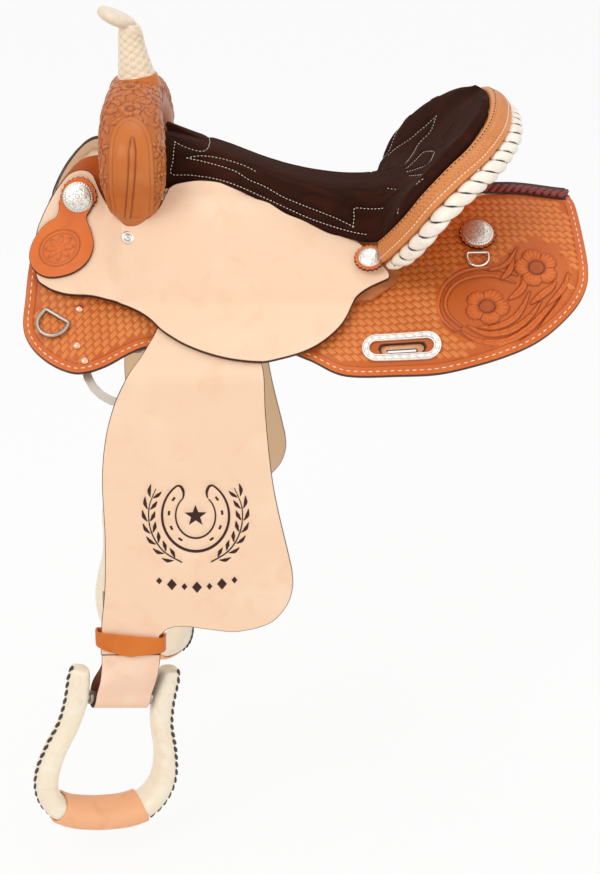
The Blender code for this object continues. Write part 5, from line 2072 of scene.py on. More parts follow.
    def basket(self, outline: Points) -> None:
        """Stamps the basket pattern on the skirt between its border, the carving and the jockey."""
        long, tall = self.element
        places, ways = [], []
        jockey = smooth_outline(JOCKEY_OUTLINE, 4)
        patch = smooth_outline(self.patch, 3)
        for slant, low, high in ((self.rear_slant, 20, 330), (self.front_slant, -305, -60)):
            c, s = math.cos(slant), math.sin(slant)
            i, j = np.meshgrid(np.arange(-60, 61), np.arange(-90, 91))
            a, b = (i + 0.5 * (j % 2)) * long, j * tall
            p = np.stack([(low + high) / 2 + a * c - b * s, 100 + a * s + b * c],
                         axis=-1).reshape(-1, 2)
            p = p[(p[:, 0] > low) & (p[:, 0] < high) & inside(p, outline)]
            p = p[(nearest(p, self.free_edge())[0] > self.border + 3.2)
                  & (nearest(p, outline, True)[0] > 4)]
            p = p[~(inside(p, patch) | (nearest(p, patch, True)[0] < 1.2))]
            hidden = ((inside(p, jockey) & (nearest(p, jockey, True)[0] > 9))
                      | ((p[:, 0] < -150) & (p[:, 1] < 30)))
            p = p[~hidden]
            cx, cv, length, width = PLATE
            reach = np.maximum(0, np.abs(p[:, 0] - cx) - (length - width) / 2)
            p = p[np.hypot(reach, p[:, 1] - cv) > width / 2 - 2]
            places.append(p)
            ways.append(np.repeat([[c, s]], len(p), axis=0))
        p, way = np.concatenate(places), np.concatenate(ways)
        height = level(SKIRT - 0.3)
        points, out, _ = surface_vectors(self.side, p, height)
        ahead = surface_vectors(self.side, p + way, height)[0] - points
        # The elements take the lighter copy of the leather, a painted highlight
        obj = stamp(f"skirt_basket_{self.side.word}", self.element_shape(), points, ahead, out,
                    Finish.BASKET)
        dress(obj, "saddle")

    def fleece(self) -> None:
        """Makes the woolskin lining, with its locks on the horse's side."""
        def lumps(p: Points, away: Points) -> tuple[Points, Tints]:
            """Locks of wool."""
            x, v = p[:, 0], p[:, 1]
            wave = (np.sin(x * 0.55 + 1.7 * np.sin(v * 0.31))
                    * np.sin(v * 0.6 + 1.4 * np.sin(x * 0.27)))
            return 1.1 * wave - 0.8, {}

        def under_side(side: Side, x: Points, v: Points, h: Points) -> Points:
            """A placement whose height grows towards the horse."""
            return on_side(side, x, v, -h)

        outline = smooth_outline(FLEECE_OUTLINE, 3.5)
        wobble = 0.42 * np.sin(np.arange(len(outline)) * 1.9)
        outline = outline + wobble[:, None] * np.sign(outline.mean(0) - outline)
        panel = Panel("fleece_wool", outline, level(1.0), level(FLEECE + 1), under_side, 4.6, 4.5,
                      relief=lumps)
        dress(panel.build(self.side), "saddle", Finish.FLEECE,
              [f"fleece_{self.side.word}"])

    def riveted(self) -> None:
        """Makes the copper rivets round the breast dee."""
        dome = dense([(0, 2.8), (2.4, 2.5), (4.2, 1.4), (5.1, 0), (0, 0)], 1.3)
        shape = turned("rivet", dome, Matrix(), 12)
        points, out, down = surface_vectors(self.side, np.array(self.rivets, float), level(SKIRT))
        obj = stamp(f"rivets_{self.side.word}", shape, points, down, out, Finish.COPPER)
        dress(obj, "saddle")


def split_line(line: Points, face: Points, keep: Sequence[int]) -> list[tuple[Points, Points]]:
    """Parts of a line that run on without a jump.

    Args:
        line: its points.
        face: the directions that they face.
        keep: numbers of the points whose step to the next one is kept, in order.

    Returns:
        The runs.
    """
    runs: list[list[int]] = []
    for i in keep:
        if runs and runs[-1][-1] == i:
            runs[-1].append(i + 1)
        else:
            runs.append([i, i + 1])
    return [(line[run], face[run]) for run in runs if len(run) > 3]


@dataclass
class Jockey:
    """One side's seat jockey with its screw, the keeper at its front and the conchos on it."""

    side: Side
    screw: Pair = (-186.5, 66.3)
    front: Pair = (-241, 22)
    corner: Pair = (79, 83)
    # Middle of the keeper's stamped oval
    oval: Pair = (-262, 70)

    def build(self) -> None:
        """Makes the jockey, keeper, screw, rosette and conchos."""
        word = self.side.word
        outline = smooth_outline(JOCKEY_OUTLINE, 2.0)
        panel = Panel("jockey_leather", outline, jockey_under, jockey_top, on_side, 5.5, 0.9,
                      burn=1.7)
        dress(panel.build(self.side), "saddle", Finish.PALE, [f"jockey_{word}"])
        self.keeper()
        self.jockey_screw()
        lift = float(jockey_top(*self.corner)) + 5.5
        rosette(self.side, "corner_rosette", self.corner, lift, 17.5)
        concho(self.side, "corner_concho", 13, 4.5, side_frame(self.side, *self.corner, lift + 3.2))
        lift = float(jockey_top(*self.front)) + KEEPER + 1
        concho(self.side, "front_concho", 17, 6, side_frame(self.side, *self.front, lift))

    def keeper(self) -> None:
        """Makes the leather that the front concho holds, scalloped round it, with a plain stamp."""
        outline = smooth_outline(KEEPER_OUTLINE, 1.2)
        off = outline - np.array(self.front)
        far = np.hypot(off[:, 0], off[:, 1])
        angle = np.arctan2(off[:, 1], off[:, 0])
        near = (far < 30) & (off[:, 1] < 8)
        wave = 1.5 * np.abs(np.sin(angle * 11)) - 0.4
        outline = outline + off / far[:, None] * (wave * near)[:, None]

        def relief(p: Points, away: Points) -> tuple[Points, Tints]:
            """Two oval lines round a matted field with a row of seeds under it."""
            q = (p - np.array(self.oval)) @ np.array([[0.94, -0.34], [0.34, 0.94]]).T
            oval = np.hypot(q[:, 0] / 23, q[:, 1] / 17)
            lift, deep = np.zeros(len(p)), np.zeros(len(p))
            for place, size in ((1.0, 1.0), (0.82, 0.7)):
                cut = bell((oval - place) * 20, 0.7) * size
                lift -= 0.7 * cut
                deep = np.maximum(deep, 0.8 * cut)
            leaf = np.abs(np.sin(np.arctan2(q[:, 1] * 1.35, q[:, 0]) * 4))
            star = (oval < 0.76) & (oval > 0.1)
            cut = bell((oval - 0.2 - 0.5 * leaf) * 14, 0.9) * star
            lift += -0.5 * cut - 0.25 * ((oval < 0.76) & (oval > 0.25 + 0.5 * leaf))
            deep = np.maximum(deep, 0.6 * cut)
            return lift, {"deep": np.clip(deep, 0, 1)}

        grid = points_within(outline, 1.1, (-296, 44), (-220, 98))
        grid = grid[nearest(grid, outline, True)[0] > 2.2]
        panel = Panel("keeper_leather", outline, lambda x, v: jockey_top(x, v) + 0.9,
                      lambda x, v: jockey_top(x, v) + 1 + KEEPER, on_side, 4, 1.0, (), relief,
                      [grid])
        obj = panel.build(self.side)
        dress(obj, "saddle", Finish.TAN, [f"concho_keeper_{self.side.word}"])

    def jockey_screw(self) -> None:
        """Makes the slotted screw in its cup washer."""
        x, v = self.screw
        frame = side_frame(self.side, x, v, float(jockey_top(np.array(x), np.array(v))) - 0.3)

        def slot(r: Points, a: Points) -> tuple[Points, Points]:
            """The driver's slot across the head."""
            cut = (np.abs(r * np.sin(a + 0.6)) < 0.6) & (r < 3.4)
            return -1.0 * cut, 0.9 * cut + 0.6 * (np.abs(r - 3.9) < 0.4)

        profile = dense([(0, 2.6), (1.9, 2.5), (3.4, 1.7), (3.9, 0.9), (5.4, 2.1), (6.7, 1.3),
                         (7.2, 0), (0, 0)], 0.4)
        dress(turned(f"jockey_screw_{self.side.word}", profile, frame, 56, slot), "saddle",
              Finish.BRIGHT)


def rosette(side: Side, name: str, place: Pair, lift: float, radius: float) -> None:
    """Makes the scalloped leather disc under a concho.

    Args:
        side: the saddle's side.
        name: the node that it stands for, without its side.
        place: its x and v.
        lift: its underside above the skirt's underside.
        radius: its radius.
    """
    frame = side_frame(side, *place, lift)
    outline = scalloped((0, 0), radius, 20, 1.7)
    panel = Panel(name + "_leather", outline, level(0), level(3), in_frame(frame), 3, 0.8, (2.4,))
    dress(panel.build(side), "saddle", Finish.TAN, [f"{name}_{side.word}"])


def concho(side: Side, name: str, radius: float, dome: float, frame: Matrix) -> None:
    """Makes a domed silver concho: rope edge, plain ring and a chased flower.

    Args:
        side: the saddle's side.
        name: the node that it stands for, without its side.
        radius: its radius.
        dome: its height.
        frame: its placement.
    """
    def chasing(r: Points, a: Points) -> tuple[Points, Points]:
        """Petals, leaves and the rope edge."""
        share = r / radius
        rope = 0.45 * np.cos(a * 34 + share * 9) * (share > 0.87)
        ring = bell(share - 0.84, 0.025)
        petal = 0.44 + 0.14 * np.cos(a * 6)
        flower = bell(share - petal, 0.035) + bell(share - 0.13, 0.03)
        rays = np.maximum(0, np.cos(a * 18)) ** 3 * ease(0.16, 0.2, share) * (share < petal - 0.06)
        leaves = (np.maximum(0, np.cos(a * 12 + 14 * share)) ** 4 * ease(0.6, 0.66, share)
                  * (share < 0.8))
        deep = 0.75 * ring + 0.8 * flower + 0.5 * rays + 0.6 * leaves + 0.5 * (rope < -0.2)
        return (rope - 0.35 * ring - 0.3 * flower - 0.15 * rays - 0.2 * leaves,
                np.clip(deep, 0, 0.85))

    shares = ((0, 1), (0.45, 0.9), (0.78, 0.62), (0.93, 0.4), (1, 0.22), (1, 0), (0, 0))
    profile = dense([(radius * across, dome * high) for across, high in shares], 0.55)
    obj = turned(f"{name}_silver_{side.word}", profile, frame, 136, chasing)
    dress(obj, "saddle", Finish.SILVER, [f"{name}_{side.word}"])


@dataclass
class Fittings:
    """One side's metal on the skirt: the cinch slot's plate, the rear concho and the two dees."""

    side: Side
    rear: Pair = (203, 41)
    rear_dee: Pair = (201, 66)
    breast_dee: Pair = (-265, 138)
    breast_turn: float = math.radians(-34)

    def build(self) -> None:
        """Makes them all."""
        rosette(self.side, "rear_rosette", self.rear, SKIRT + 1.4, 21)
        concho(self.side, "rear_concho", 17.5, 5, side_frame(self.side, *self.rear, SKIRT + 4.6))
        self.slot_plate()
        hung = side_frame(self.side, *self.rear_dee, SKIRT + 2.4)
        self.dee("rear_dee", 24, 18, 1.5, hung, Finish.BRIGHT)
        front = side_frame(self.side, *self.breast_dee, SKIRT + 3.4, self.breast_turn)
        self.dee("breast_dee", 33, 26, 2.2, front, Finish.STEEL)
        self.dee_slit(front)

    def slot_plate(self) -> None:
        """Makes the chased plate, bent to the skirt, with a bright rim inside and out."""
        cx, cv, length, width = PLATE
        section = dense([(0, 0.2), (0, 1.6), (0.6, 2.3), (1.5, 2.3), (2.0, 1.8), (6.5, 1.8),
                         (7.0, 2.3), (7.9, 2.3), (8.5, 1.6), (8.5, 0.2)], 0.55)
        # Straight sides get as many points as the round ends
        middle = (length - width) / 2
        straight = np.linspace(middle, -middle, 60)[1:-1]
        a = np.linspace(-math.pi / 2, math.pi / 2, 50)
        rows, deep = [], []
        for off, h in section:
            r = width / 2 - off
            end = np.stack([middle + r * np.cos(a), r * np.sin(a)], axis=1)
            side = np.stack([straight, 0 * straight + r], axis=1)
            loop = np.concatenate([end, side, -end, -side])
            curls = (np.cos(np.arange(len(loop)) * 0.62 + 3 * math.sin(off * 1.1))
                     * math.cos(off * 1.5))
            curls = curls * (2.1 < off < 6.4)
            rows.append(on_side(self.side, cx + loop[:, 0], cv + loop[:, 1],
                                SKIRT + 0.5 + h + 0.18 * curls))
            rim = 0.7 * (abs(off - 2) < 0.3 or abs(off - 6.5) < 0.3)
            deep.append(np.clip(0.5 * (curls < -0.3) + rim, 0, 0.8))
        obj = loft(f"slot_plate_silver_{self.side.word}", np.array(rows), {"deep": np.array(deep)},
                   True)
        dress(obj, "saddle", Finish.SILVER, [f"slot_plate_{self.side.word}"])

    def dee(self, name: str, width: float, drop: float, radius: float, frame: Matrix,
            finish: Finish) -> None:
        """Makes a wire dee that hangs by its straight bar.

        Args:
            name: the node that it stands for, without its side.
            width: the bar's length.
            drop: the bow's depth.
            radius: the wire's radius.
            frame: the bar's middle, with X along it.
            finish: its material.
        """
        a = np.linspace(0, math.pi, 40)
        bow = np.stack([width / 2 * np.cos(a), -drop * 0.35 - drop * 0.65 * np.sin(a)], axis=1)
        corner = np.array([(-width / 2, -drop * 0.18), (-width / 2 + 0.6, -1.0),
                           (-width / 2 + 2.2, 0)])
        bar = np.linspace(-width / 2 + 4, width / 2 - 4, 14)
        mirrored = corner[::-1] * np.array([-1, 1])
        loop = np.concatenate([bow, corner, np.stack([bar, 0 * bar], axis=1), mirrored])
        path = in_frame(frame)(self.side, loop[:, 0], loop[:, 1], 0 * loop[:, 0])
        obj = tube(f"{name}_wire_{self.side.word}", path, radius, True, 16)
        dress(obj, f"{self.side.word}_{name}", finish, [f"{name}_{self.side.word}"])

    def dee_slit(self, frame: Matrix) -> None:
        """Makes a dark sheet where the breast dee's bar goes into the skirt: painted shade in the
        slit.
        """
        half = [(15, -1.4, 1), (16.5, 1.2), (15, 3.6, 1)]
        outline = smooth_outline([(-15, -1.4, 1), *half, (-15, 3.6, 1), (-16.5, 1.2)], 2)
        panel = Panel("breast_dee_slit", outline, level(-4.6), level(-2.9), in_frame(frame), 3, 0.5)
        dress(panel.build(self.side), "saddle", Finish.DARK)


@dataclass
class SkirtLace:
    """The lace that joins the two skirts over the ridge behind the cantle."""

    first: float = 215
    last: float = 309
    # The strands: pitch along the ridge, length, width, height and slant
    strand: tuple[float, float, float, float, float] = (8.7, 20, 7.8, 4.4, 38)
    # Section of the strip under the strands: distance to the right of the ridge, and height
    strip: Pairs = (
        (-12, 1), (-9, 2.2), (-5, 3.0), (0, 3.4), (5, 3.0), (9, 2.2), (12, 1), (6, 0.4), (0, 0.8),
        (-6, 0.4),
    )

    def ridge(self, x: Points, y: float, lift: float) -> Points:
        """Points on the skirts at a distance from the middle."""
        v = np.full_like(x, (abs(y) - RIDGE_Y) / math.cos(SLOPE))
        for _ in range(8):
            at = on_side(Side.RIGHT, x, v, level(SKIRT)(x, v))
            v += (abs(y) - at[..., 1]) / math.cos(SLOPE)
        at = on_side(Side.RIGHT, x, v, level(SKIRT)(x, v))
        return np.stack([x, 0 * x + y, at[..., 2] + lift], axis=-1)

    def build(self) -> None:
        """Makes the base strip and the slanted strands."""
        x = np.linspace(self.first, self.last, 60)
        rows = [self.ridge(x, y, lift) for y, lift in self.strip]
        base = loft("skirt_lace_strip", np.swapaxes(np.array(rows), 0, 1))
        dress(base, "saddle", Finish.BROWN_LACE, ["skirt_lace"])
        strands = []
        for side in Side:
            line = self.ridge(x[2:-2], side.value * 7.5, 3.2)
            facing = np.repeat([[0, side.value * 0.55, 0.83]], len(line), axis=0)
            *sizes, slant = self.strand
            seam = Seam(*sizes, Finish.MAROON_LACE, -side.value * slant)
            strands.append(seam.lay(f"skirt_lace_{side.word}", [(line, facing)]))
        dress(join("skirt_lace_strands", strands), "saddle")


@dataclass
class Leathers:
    """One side's stirrup leather, fender and hobble strap."""

    side: Side
    # The sheet bends over this far on each side of the bend's line, whose middle lies at this x
    bend: float = 16.0
    middle: float = -112.0
    # Where the carved badge's middle lies, as x and distance under the bend
    badge: Pair = (-116, 158)
    # The hobble strap's way round the fender's foot: x and distance off the fender's middle
    hobble_path: Pairs = (
        (-230.4, -8), (-228, 3.0), (-215, 5.4), (-192, 6.1), (-169, 5.4), (-156.6, 3.0),
        (-153.8, -8), (-159, -11.5), (-192, -13), (-225, -11.5),
    )

    def on_drape(self, side: Side, x: Points, w: Points, h: Points) -> Points:
        """Points on the fender from its top over its bend to its foot, w down from the ridge."""
        x, w, h = np.broadcast_arrays(x, w, h)
        over = on_flat(side, x, w, FENDER_LIFT + FENDER / 2 + h)
        hung = on_fender(side, x, w - BEND_V, h)
        share = ease(BEND_V - self.bend, BEND_V + self.bend, w)[..., None]
        return over * (1 - share) + hung * share

    def badge_outlines(self) -> list[Points]:
        """Outlines of the carved badge: horseshoe and star between laurels, over diamonds."""
        cx, cu = self.badge
        out = []

        def stroke(line: Sequence[Pair], start: float, middle: float, end: float) -> Points:
            """A brush stroke along a line, with its width at the start, middle and end."""
            path = smooth_line(line, 1.6)
            t = np.linspace(0, 1, len(path))
            width = np.interp(t, [0, 0.5, 1], [start, middle, end]) / 2
            off = normals(path) * width[:, None]
            return np.concatenate([path + off, (path - off)[::-1]])

        def polar(radius: float, degrees: float, tall: float = 1.0) -> Pair:
            """A point round the badge's middle, 0 degrees at the foot."""
            a = math.radians(degrees)
            return cx + radius * math.sin(a), cu + radius * tall * math.cos(a)

        # Horseshoe, open at the top: two outlines and eight nail holes
        out.append(stroke([polar(37, d, 1.12) for d in range(-148, 149, 8)], 2.2, 3.6, 2.2))
        out.append(stroke([polar(22, d, 1.18) for d in range(-142, 143, 8)], 1.6, 2.4, 1.6))
        for sign in (-1, 1):
            for d in (36, 66, 96, 126):
                a = math.radians(sign * d)
                corners = np.array([(2.6, 1.3), (-2.6, 1.3), (-2.6, -1.3), (2.6, -1.3)])
                turn = np.array([(math.cos(a), -math.sin(a)), (math.sin(a), math.cos(a))])
                out.append(np.array(polar(29.5, sign * d, 1.14)) + corners @ turn)
            heel = [polar(r, sign * d, tall) for r, d, tall in
                    ((37, 148, 1.12), (34, 153, 1.12), (27, 152, 1.14), (22, 142, 1.18))]
            out.append(stroke(heel, 2.2, 3.4, 1.6))
            # Laurel: a stem with leaves on both sides
            stem = [polar(52, sign * d, 1.1) for d in (18, 45, 72, 99, 124)]
            out.append(stroke(stem, 1.8, 1.6, 1.0))
            for d in range(28, 124, 14):
                for inward in (-1, 1):
                    leaf = [polar(52 + inward * r, sign * (d + more), 1.1)
                            for r, more in ((1.5, 0), (5.2, 6), (7, 13))]
                    out.append(stroke(leaf, 0.5, 4.6, 0.4))
        star = [polar(13 if k % 2 == 0 else 5.4, 180 + k * 36) for k in range(10)]
        out.append(np.array(star))
        for k in range(-3, 4):
            x, u = cx + k * 14.0, cu + 84 - 0.9 * k * k
            size = 5.6 if k % 2 == 0 else 3.4
            out.append(np.array([(x - size, u), (x, u - size * 1.25), (x + size, u),
                                 (x, u + size * 1.25)]))
        return out

    def build(self) -> None:
        """Makes the leather over the bar, the fender with its carving, and the hobble strap."""
        word = self.side.word
        strap = smooth_outline([(-149, 20, 1), (-149, 124, 1), (-75, 124, 1), (-75, 20, 1)], 5)
        over_bar = Panel("stirrup_strap", strap, lambda x, v: bar_top(x, v) + 2.7,
                         lambda x, v: bar_top(x, v) + 5.5, on_side, 5, 0.8)
        dress(over_bar.build(self.side), "saddle", Finish.STRAP,
              [f"stirrup_leather_{word}"])
        lower = [(x, u + BEND_V, *rest) for x, u, *rest in FENDER_OUTLINE[1:-1]]
        top = [point[:2] for point in FENDER_TOP_OUTLINE]
        outline = smooth_outline([*top, *lower[::-1]], 2.5)
        badge = [part + np.array([0, BEND_V]) for part in self.badge_outlines()]
        # Two lines of points, just inside and just outside each shape, keep its cut edge sharp
        rims = [parallel(dense([*part, part[0]], 1.6, round)[:-1], off) for part in badge
                for off in (0.22, -0.22)]

        def relief(p: Points, away: Points) -> tuple[Points, Tints]:
            """The badge: cut down and inked."""
            ink = np.zeros(len(p))
            for part in badge:
                low, high = part.min(0) - 1, part.max(0) + 1
                close = np.flatnonzero(((p > low) & (p < high)).all(1))
                if len(close):
                    gap = nearest(p[close], part, True)[0] * np.where(inside(p[close], part), 1, -1)
                    ink[close] = np.maximum(ink[close], ease(-0.2, 0.2, gap))
            return -0.7 * ink, {"ink": ink}

        panel = Panel("fender_leather", outline, level(-FENDER / 2), level(FENDER / 2),
                      self.on_drape, 8, 0.9, relief=relief, extra=rims, burn=1.3)
        obj = panel.build(self.side)
        dress(obj, None, Finish.PALE, [f"fender_top_{word}", f"fender_{word}"])
        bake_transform(obj)
        self.hobble()
        self.stitches()

    def hobble(self) -> None:
        """Makes the strap that is buckled round the fender's foot."""
        path = smooth_outline(self.hobble_path, 1.6)
        normal = -normals(path, True)
        tall = HOBBLE_BOTTOM - HOBBLE_TOP
        rows = []
        share = (path[:, 0] + 232) / 80
        # Its upper edge slants down to the rear, its lower edge bows: it is widest in the middle
        upper = HOBBLE_TOP - 6 + 9 * share
        lower = (HOBBLE_BOTTOM + 1 - 26 * (1 - share) * np.maximum(0, 0.5 - share)
                 - 8 * np.maximum(0, share - 0.5))
        for along, depth in rounded_section(tall / 2, 2.8, 1.2, 7):
            p = path + normal * depth
            place = along / tall + 0.5
            rows.append(on_fender(self.side, p[:, 0], upper + (lower - upper) * place, p[:, 1]))
        obj = loft(f"hobble_leather_{self.side.word}", np.array(rows), loop=True)
        word = self.side.word
        dress(obj, f"{word}_fender", Finish.STRAP, [f"hobble_strap_{word}"])

    def stitches(self) -> None:
        """Makes the stitches that hold the fender to the strap behind it."""
        flat = smooth_line([(-216, 244), (-166, 244)], 3)
        points = on_fender(self.side, flat[:, 0], flat[:, 1], 0 * flat[:, 0] - FENDER / 2 - 0.1)
        facing = np.repeat([[0, -self.side.value, 0.1]], len(points), axis=0)
        thread = Seam(5, 3.4, 1.1, 0.9, Finish.CREAM_THREAD)
        seam = thread.lay(f"fender_stitches_{self.side.word}", [(points, facing)])
        dress(seam, f"{self.side.word}_fender")


@dataclass
class Stirrup:
    """One side's neck strap and stirrup: rawhide over wood, laced outside, with a leather tread."""

    side: Side
    # The neck strap's middle in x, and half its width
    strap_middle: float = -192.0
    strap_half: float = 33.0
    # Stations, counted from the crown, between which a branch is laced, and where the tread's
    # cover starts
    laced: Pair = (0.7, 8.0)
    covered: float = 8.2
    lace: Seam = Seam(9.8, 12.8, 6.0, 2.8, Finish.BROWN_LACE, 34)

    def frame(self) -> Matrix:
        """The stirrup's placement: X along its bolt."""
        turn = Matrix.Rotation(-self.side.value * STIRRUP_TURN[self.side], 4, "Z")
        turn = turn @ Matrix.Rotation(STIRRUP_TILT[self.side], 4, "Y")
        return Matrix.Translation(Vector((BOLT[0], self.side.value * BOLT[1], BOLT[2]))) @ turn

    def sections(self, grow: float, places: Points, angles: Points) -> Points:
        """Sections round the stirrup.

        Args:
            grow: how far outside the wood.
            places: positions counted in the half's stations, running on over the tread.
            angles: angles round the section, 0 away from the opening.

        Returns:
            Rows of points in the stirrup's frame.
        """
        count = len(STIRRUP) - 1
        rows = []
        for s in places:
            mirror = -1 if s <= count else 1
            place = s if s <= count else 2 * count - s
            x, z, wide, deep = spline(STIRRUP, place)
            after, before = (spline(STIRRUP, min(place + 0.05, count)),
                             spline(STIRRUP, max(place - 0.05, 0)))
            # The section stands upright where the two halves meet under the foot
            share = float(ease(count - 1, count - 0.05, place))
            ahead = unit(unit((after - before)[:2]) * (1 - share) + np.array([-1.0, 0.0]) * share)
            out = boxed(np.cos(angles)) * (wide + grow)
            px, pz = x - ahead[1] * out, z + ahead[0] * out
            rows.append(np.stack([mirror * px, boxed(np.sin(angles)) * (deep + grow), pz], axis=1))
        return np.array(rows)

    def placed(self, rows: Points) -> Points:
        """Rows from the stirrup's frame to the saddle's."""
        return in_frame(self.frame())(self.side, rows[..., 0], rows[..., 1], rows[..., 2])

    def build(self) -> None:
        """Makes the neck strap, the stirrup, its lacing and its tread."""
        word = self.side.word
        count = len(STIRRUP) - 1
        angles = turns(56)
        places = np.linspace(0, 2 * count, 190)
        rows = self.sections(0, places, angles)
        inward = np.clip(np.minimum(places, 2 * count - places) / 0.55, 0, 1)
        crown = 1 - np.sqrt(1 - (1 - inward) ** 2)
        middle = rows.mean(1, keepdims=True)
        rows = rows + (middle - rows) * (crown * 0.55)[:, None, None]
        # The hide's edges meet in a low welt towards the foot
        rows = rows + (rows - middle) * 0.0275 * bell(angles - math.pi, 0.16)[None, :, None]
        obj = loft(f"stirrup_rawhide_{word}", self.placed(rows))
        dress(obj, f"{word}_stirrup", Finish.STIRRUP, [f"stirrup_{word}"])
        self.lacing(count)
        self.tread(count, angles)
        self.neck()

    def lacing(self, count: int) -> None:
        """Laces the hide along the outside of both branches."""
        parts = []
        face = self.side.value
        for mirror in (False, True):
            s = np.linspace(*self.laced, 80)
            places = 2 * count - s if mirror else s
            line = self.placed(self.sections(0.3, places,
                                             np.array([face * (0.65 if mirror else 0.05)]))[:, 0])
            centre = self.placed(self.sections(0, places, turns(12)).mean(1))
            slant = self.lace.slant * (1 if (face > 0) != mirror else -1)
            parts.append(replace(self.lace, slant=slant).lay(f"lace_{mirror}",
                                                             [(line, unit(line - centre))]))
        dress(join(f"stirrup_lace_{self.side.word}", parts), f"{self.side.word}_stirrup")

    def tread(self, count: int, angles: Points) -> None:
        """Makes the leather rolled round the tread, creased where it bends."""
        places = np.linspace(self.covered, 2 * count - self.covered, 90)
        outer, inner = self.sections(3.2, places, angles), self.sections(0.9, places, angles)
        t, c = np.linspace(-1, 1, 90)[:, None], np.cos(angles)[None]
        crease = 0.3 * np.sin(t * 34 + c * 3) * ease(0.55, 0.95, np.abs(t)) * ease(0.1, 0.8, c)
        lip = 1 - np.sqrt(1 - (1 - np.clip((1 - np.abs(t)) / 0.035, 0, 1)) ** 2)
        outer = outer + unit(outer - outer.mean(1, keepdims=True)) * (crease - 1.6 * lip)[..., None]
        edge = np.repeat(lip, len(angles), axis=1)
        rows = np.concatenate([outer, inner[::-1]])
        tints = {"edge": np.concatenate([edge * 0.45, 0 * edge])}
        obj = loft(f"tread_leather_{self.side.word}", self.placed(rows), tints, True)
        dress(obj, f"{self.side.word}_stirrup", Finish.CHAP,
              [f"tread_cover_{self.side.word}"])

    def neck(self) -> None:
        """Makes the doubled strap from the hobble round the bolt and back."""
        side, frame = self.side, self.frame()
        x, u = self.strap_middle, HOBBLE_BOTTOM + 0.6
        top = np.array(spot(side, x, u, 0, on_fender))
        down, out = (unit(np.array(spot(side, x, u + du, h, on_fender)) - top)
                     for du, h in ((1, 0), (0, 1)))
        reach = float(np.linalg.norm(top - np.array(frame.translation)))
        spread = SLEEVE_RADIUS + GAP + 2

        def place(x: Points, depth: Points, height: Points) -> Points:
            """A point of the strap: x across it, depth off its middle, height over the bolt."""
            near = in_frame(frame)(side, x, side.value * depth, height)
            far = (top + np.outer(x, [1, 0, 0]) + np.outer(depth, out)
                   + np.outer(reach - height, down))
            share = ease(8, reach, height)[:, None]
            return near * (1 - share) + far * share

        # Down the front, round the sleeve and up the back, where both halves close under the hobble
        height = np.linspace(reach, 0, 40)
        joined = ease(20, reach, height)
        a = np.linspace(0, math.pi, 26)[1:-1]
        front = np.stack([spread * (1 - joined) + 0.2, height], axis=1)
        rear = np.stack([-spread * (1 - joined) - 5 * joined, height], axis=1)
        path = np.concatenate([front, np.stack([spread * np.cos(a), -spread * np.sin(a)], axis=1),
                               rear[::-1]])
        section = rounded_section(self.strap_half, FENDER - 0.2, 0.9, 7)
        section = dense([*map(tuple, section), tuple(section[0])], 1.4)[:-1]
        rows, back, edge = [], [], []
        for point, off in zip(path, normals(path)):
            height = point[1] + off[1] * section[:, 1] * (point[1] < reach - 0.01)
            rows.append(place(section[:, 0], point[0] + off[0] * section[:, 1], height))
            back.append((section[:, 1] < -0.5) * 1.0)
            edge.append((np.abs(section[:, 0]) > self.strap_half - 0.8) * 1.0)
        obj = loft(f"neck_strap_{side.word}", np.array(rows),
                   {"back": np.array(back), "edge": np.array(edge)})
        dress(obj, f"{side.word}_neck", Finish.NECK, [f"stirrup_neck_{side.word}"])


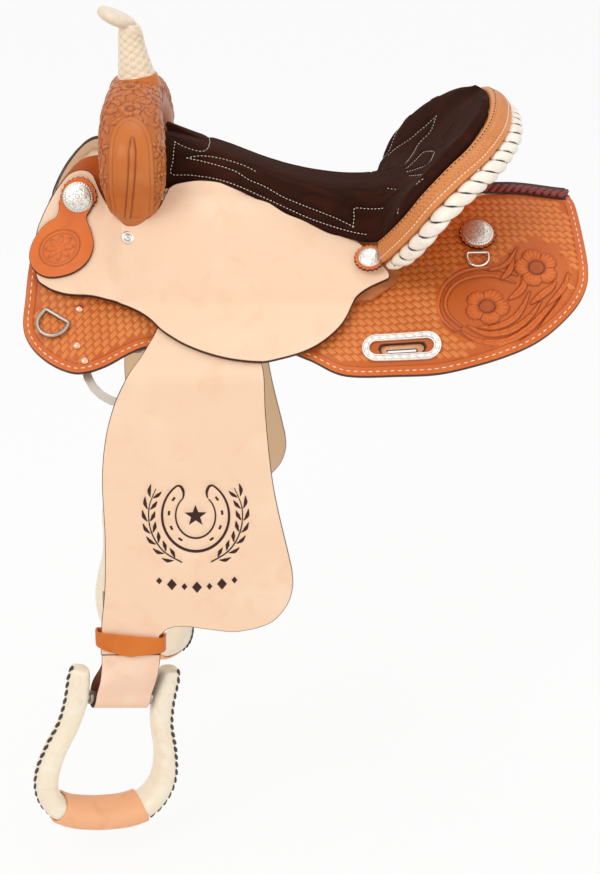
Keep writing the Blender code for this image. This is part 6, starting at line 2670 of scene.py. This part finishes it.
@dataclass
class Studio:
    """The floor, the light and the camera at the photograph's angle."""

    floor_z: float = -0.70
    floor_half: float = 12.0
    # Share of plain white that the camera sees in the floor; the rest is lit and shaded
    floor_glow: float = 0.9
    world_strength: float = 0.62
    eye: tuple[float, float, float] = (-0.0486, -2.0363, 0.5557)
    azimuth: float = math.radians(-1.5)
    pitch: float = math.radians(21.8)
    lens: float = 74.88

    def seen(self, tree: bpy.types.NodeTree) -> Socket:
        """1 for camera, glossy and transmission rays, 0 for the rays that light the saddle."""
        path = add_node(tree, "ShaderNodeLightPath").outputs
        seen = path["Is Camera Ray"]
        for key in ("Is Glossy Ray", "Is Transmission Ray"):
            seen = add_node(tree, "ShaderNodeMath", {"operation": "MAXIMUM"},
                            {0: seen, 1: path[key]}).outputs[0]
        return seen

    def sky(self) -> None:
        """Makes the world: white to the camera, and of its own strength to the saddle."""
        world = bpy.data.worlds.new("studio_white")
        world.use_nodes = True
        bpy.context.scene.world = world
        tree = world.node_tree
        values = {"Value": self.seen(tree), "To Min": self.world_strength, "To Max": 1.0}
        strength = add_node(tree, "ShaderNodeMapRange", None, values).outputs[0]
        background = tree.nodes["Background"]
        background.inputs["Color"].default_value = (1, 1, 1, 1)
        tree.links.new(strength, background.inputs["Strength"])

    def floor(self) -> None:
        """Makes the floor: white to the camera, darkened only by the saddle's shadow."""
        mesh = bpy.data.meshes.new("floor")
        far = self.floor_half
        corners = [(x, y, self.floor_z)
                   for x, y in ((-far, -far), (far, -far), (far, far), (-far, far))]
        mesh.from_pydata(corners, [], [(0, 1, 2, 3)])
        material = bpy.data.materials.new("studio_paper_matt")
        material.use_nodes = True
        tree = material.node_tree
        shader = tree.nodes["Principled BSDF"]
        for key, value in (("Base Color", linear("#f7f6f4")), ("Roughness", 0.9),
                           ("Specular IOR Level", 0.0)):
            shader.inputs[key].default_value = value
        values = {0: self.seen(tree), 1: self.floor_glow}
        share = add_node(tree, "ShaderNodeMath", {"operation": "MULTIPLY"}, values).outputs[0]
        glow = add_node(tree, "ShaderNodeEmission", None,
                        {"Color": (1, 1, 1, 1), "Strength": 1.0}).outputs[0]
        mixed = add_node(tree, "ShaderNodeMixShader", None,
                         {0: share, 1: shader.outputs[0], 2: glow}).outputs[0]
        tree.links.new(mixed, tree.nodes["Material Output"].inputs["Surface"])
        mesh.materials.append(material)
        linked("floor", mesh)

    def lamp(self, name: str, at: Sequence[float], aim: Sequence[float], size: float,
             power: float) -> None:
        """Adds a soft square lamp.

        Args:
            name: its name.
            at: its place.
            aim: the point that it faces.
            size: its width.
            power: its power in watts.
        """
        data = bpy.data.lights.new(name, "AREA")
        data.energy = power
        data.size = size
        obj = linked(name, data)
        obj.location = at
        obj.rotation_euler = (Vector(aim) - Vector(at)).to_track_quat("-Z", "Y").to_euler()

    def build(self) -> None:
        """Sets the studio up."""
        scene = bpy.context.scene
        scene.view_settings.view_transform = "Standard"
        self.sky()
        self.floor()
        middle = (0, 0, -0.15)
        self.lamp("key", (-1.5, -2.2, 2.2), middle, 1.6, 36)
        self.lamp("fill", (2.2, -2.0, 0.8), middle, 2.2, 14)
        self.lamp("top", (0.2, 0.3, 2.6), middle, 1.8, 14)
        data = bpy.data.cameras.new("camera")
        data.lens = self.lens
        data.sensor_width = 36
        camera = linked("camera", data)
        a, p = self.azimuth, self.pitch
        back = Vector((math.sin(a) * math.cos(p), -math.cos(a) * math.cos(p), math.sin(p)))
        camera.location = self.eye
        camera.rotation_euler = (-back).to_track_quat("-Z", "Y").to_euler()
        scene.camera = camera


def main() -> None:
    """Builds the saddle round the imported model."""
    logging.basicConfig(level=logging.INFO, format="%(message)s")
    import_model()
    Studio().build()
    TreeParts().dress()
    Horn().build()
    Swell().build()
    Seat().build()
    Cantle().build()
    SkirtLace().build()
    for side in Side:
        Skirt(side).build()
        Jockey(side).build()
        Fittings(side).build()
        Leathers(side).build()
        Stirrup(side).build()


if __name__ == "__main__":
    main()
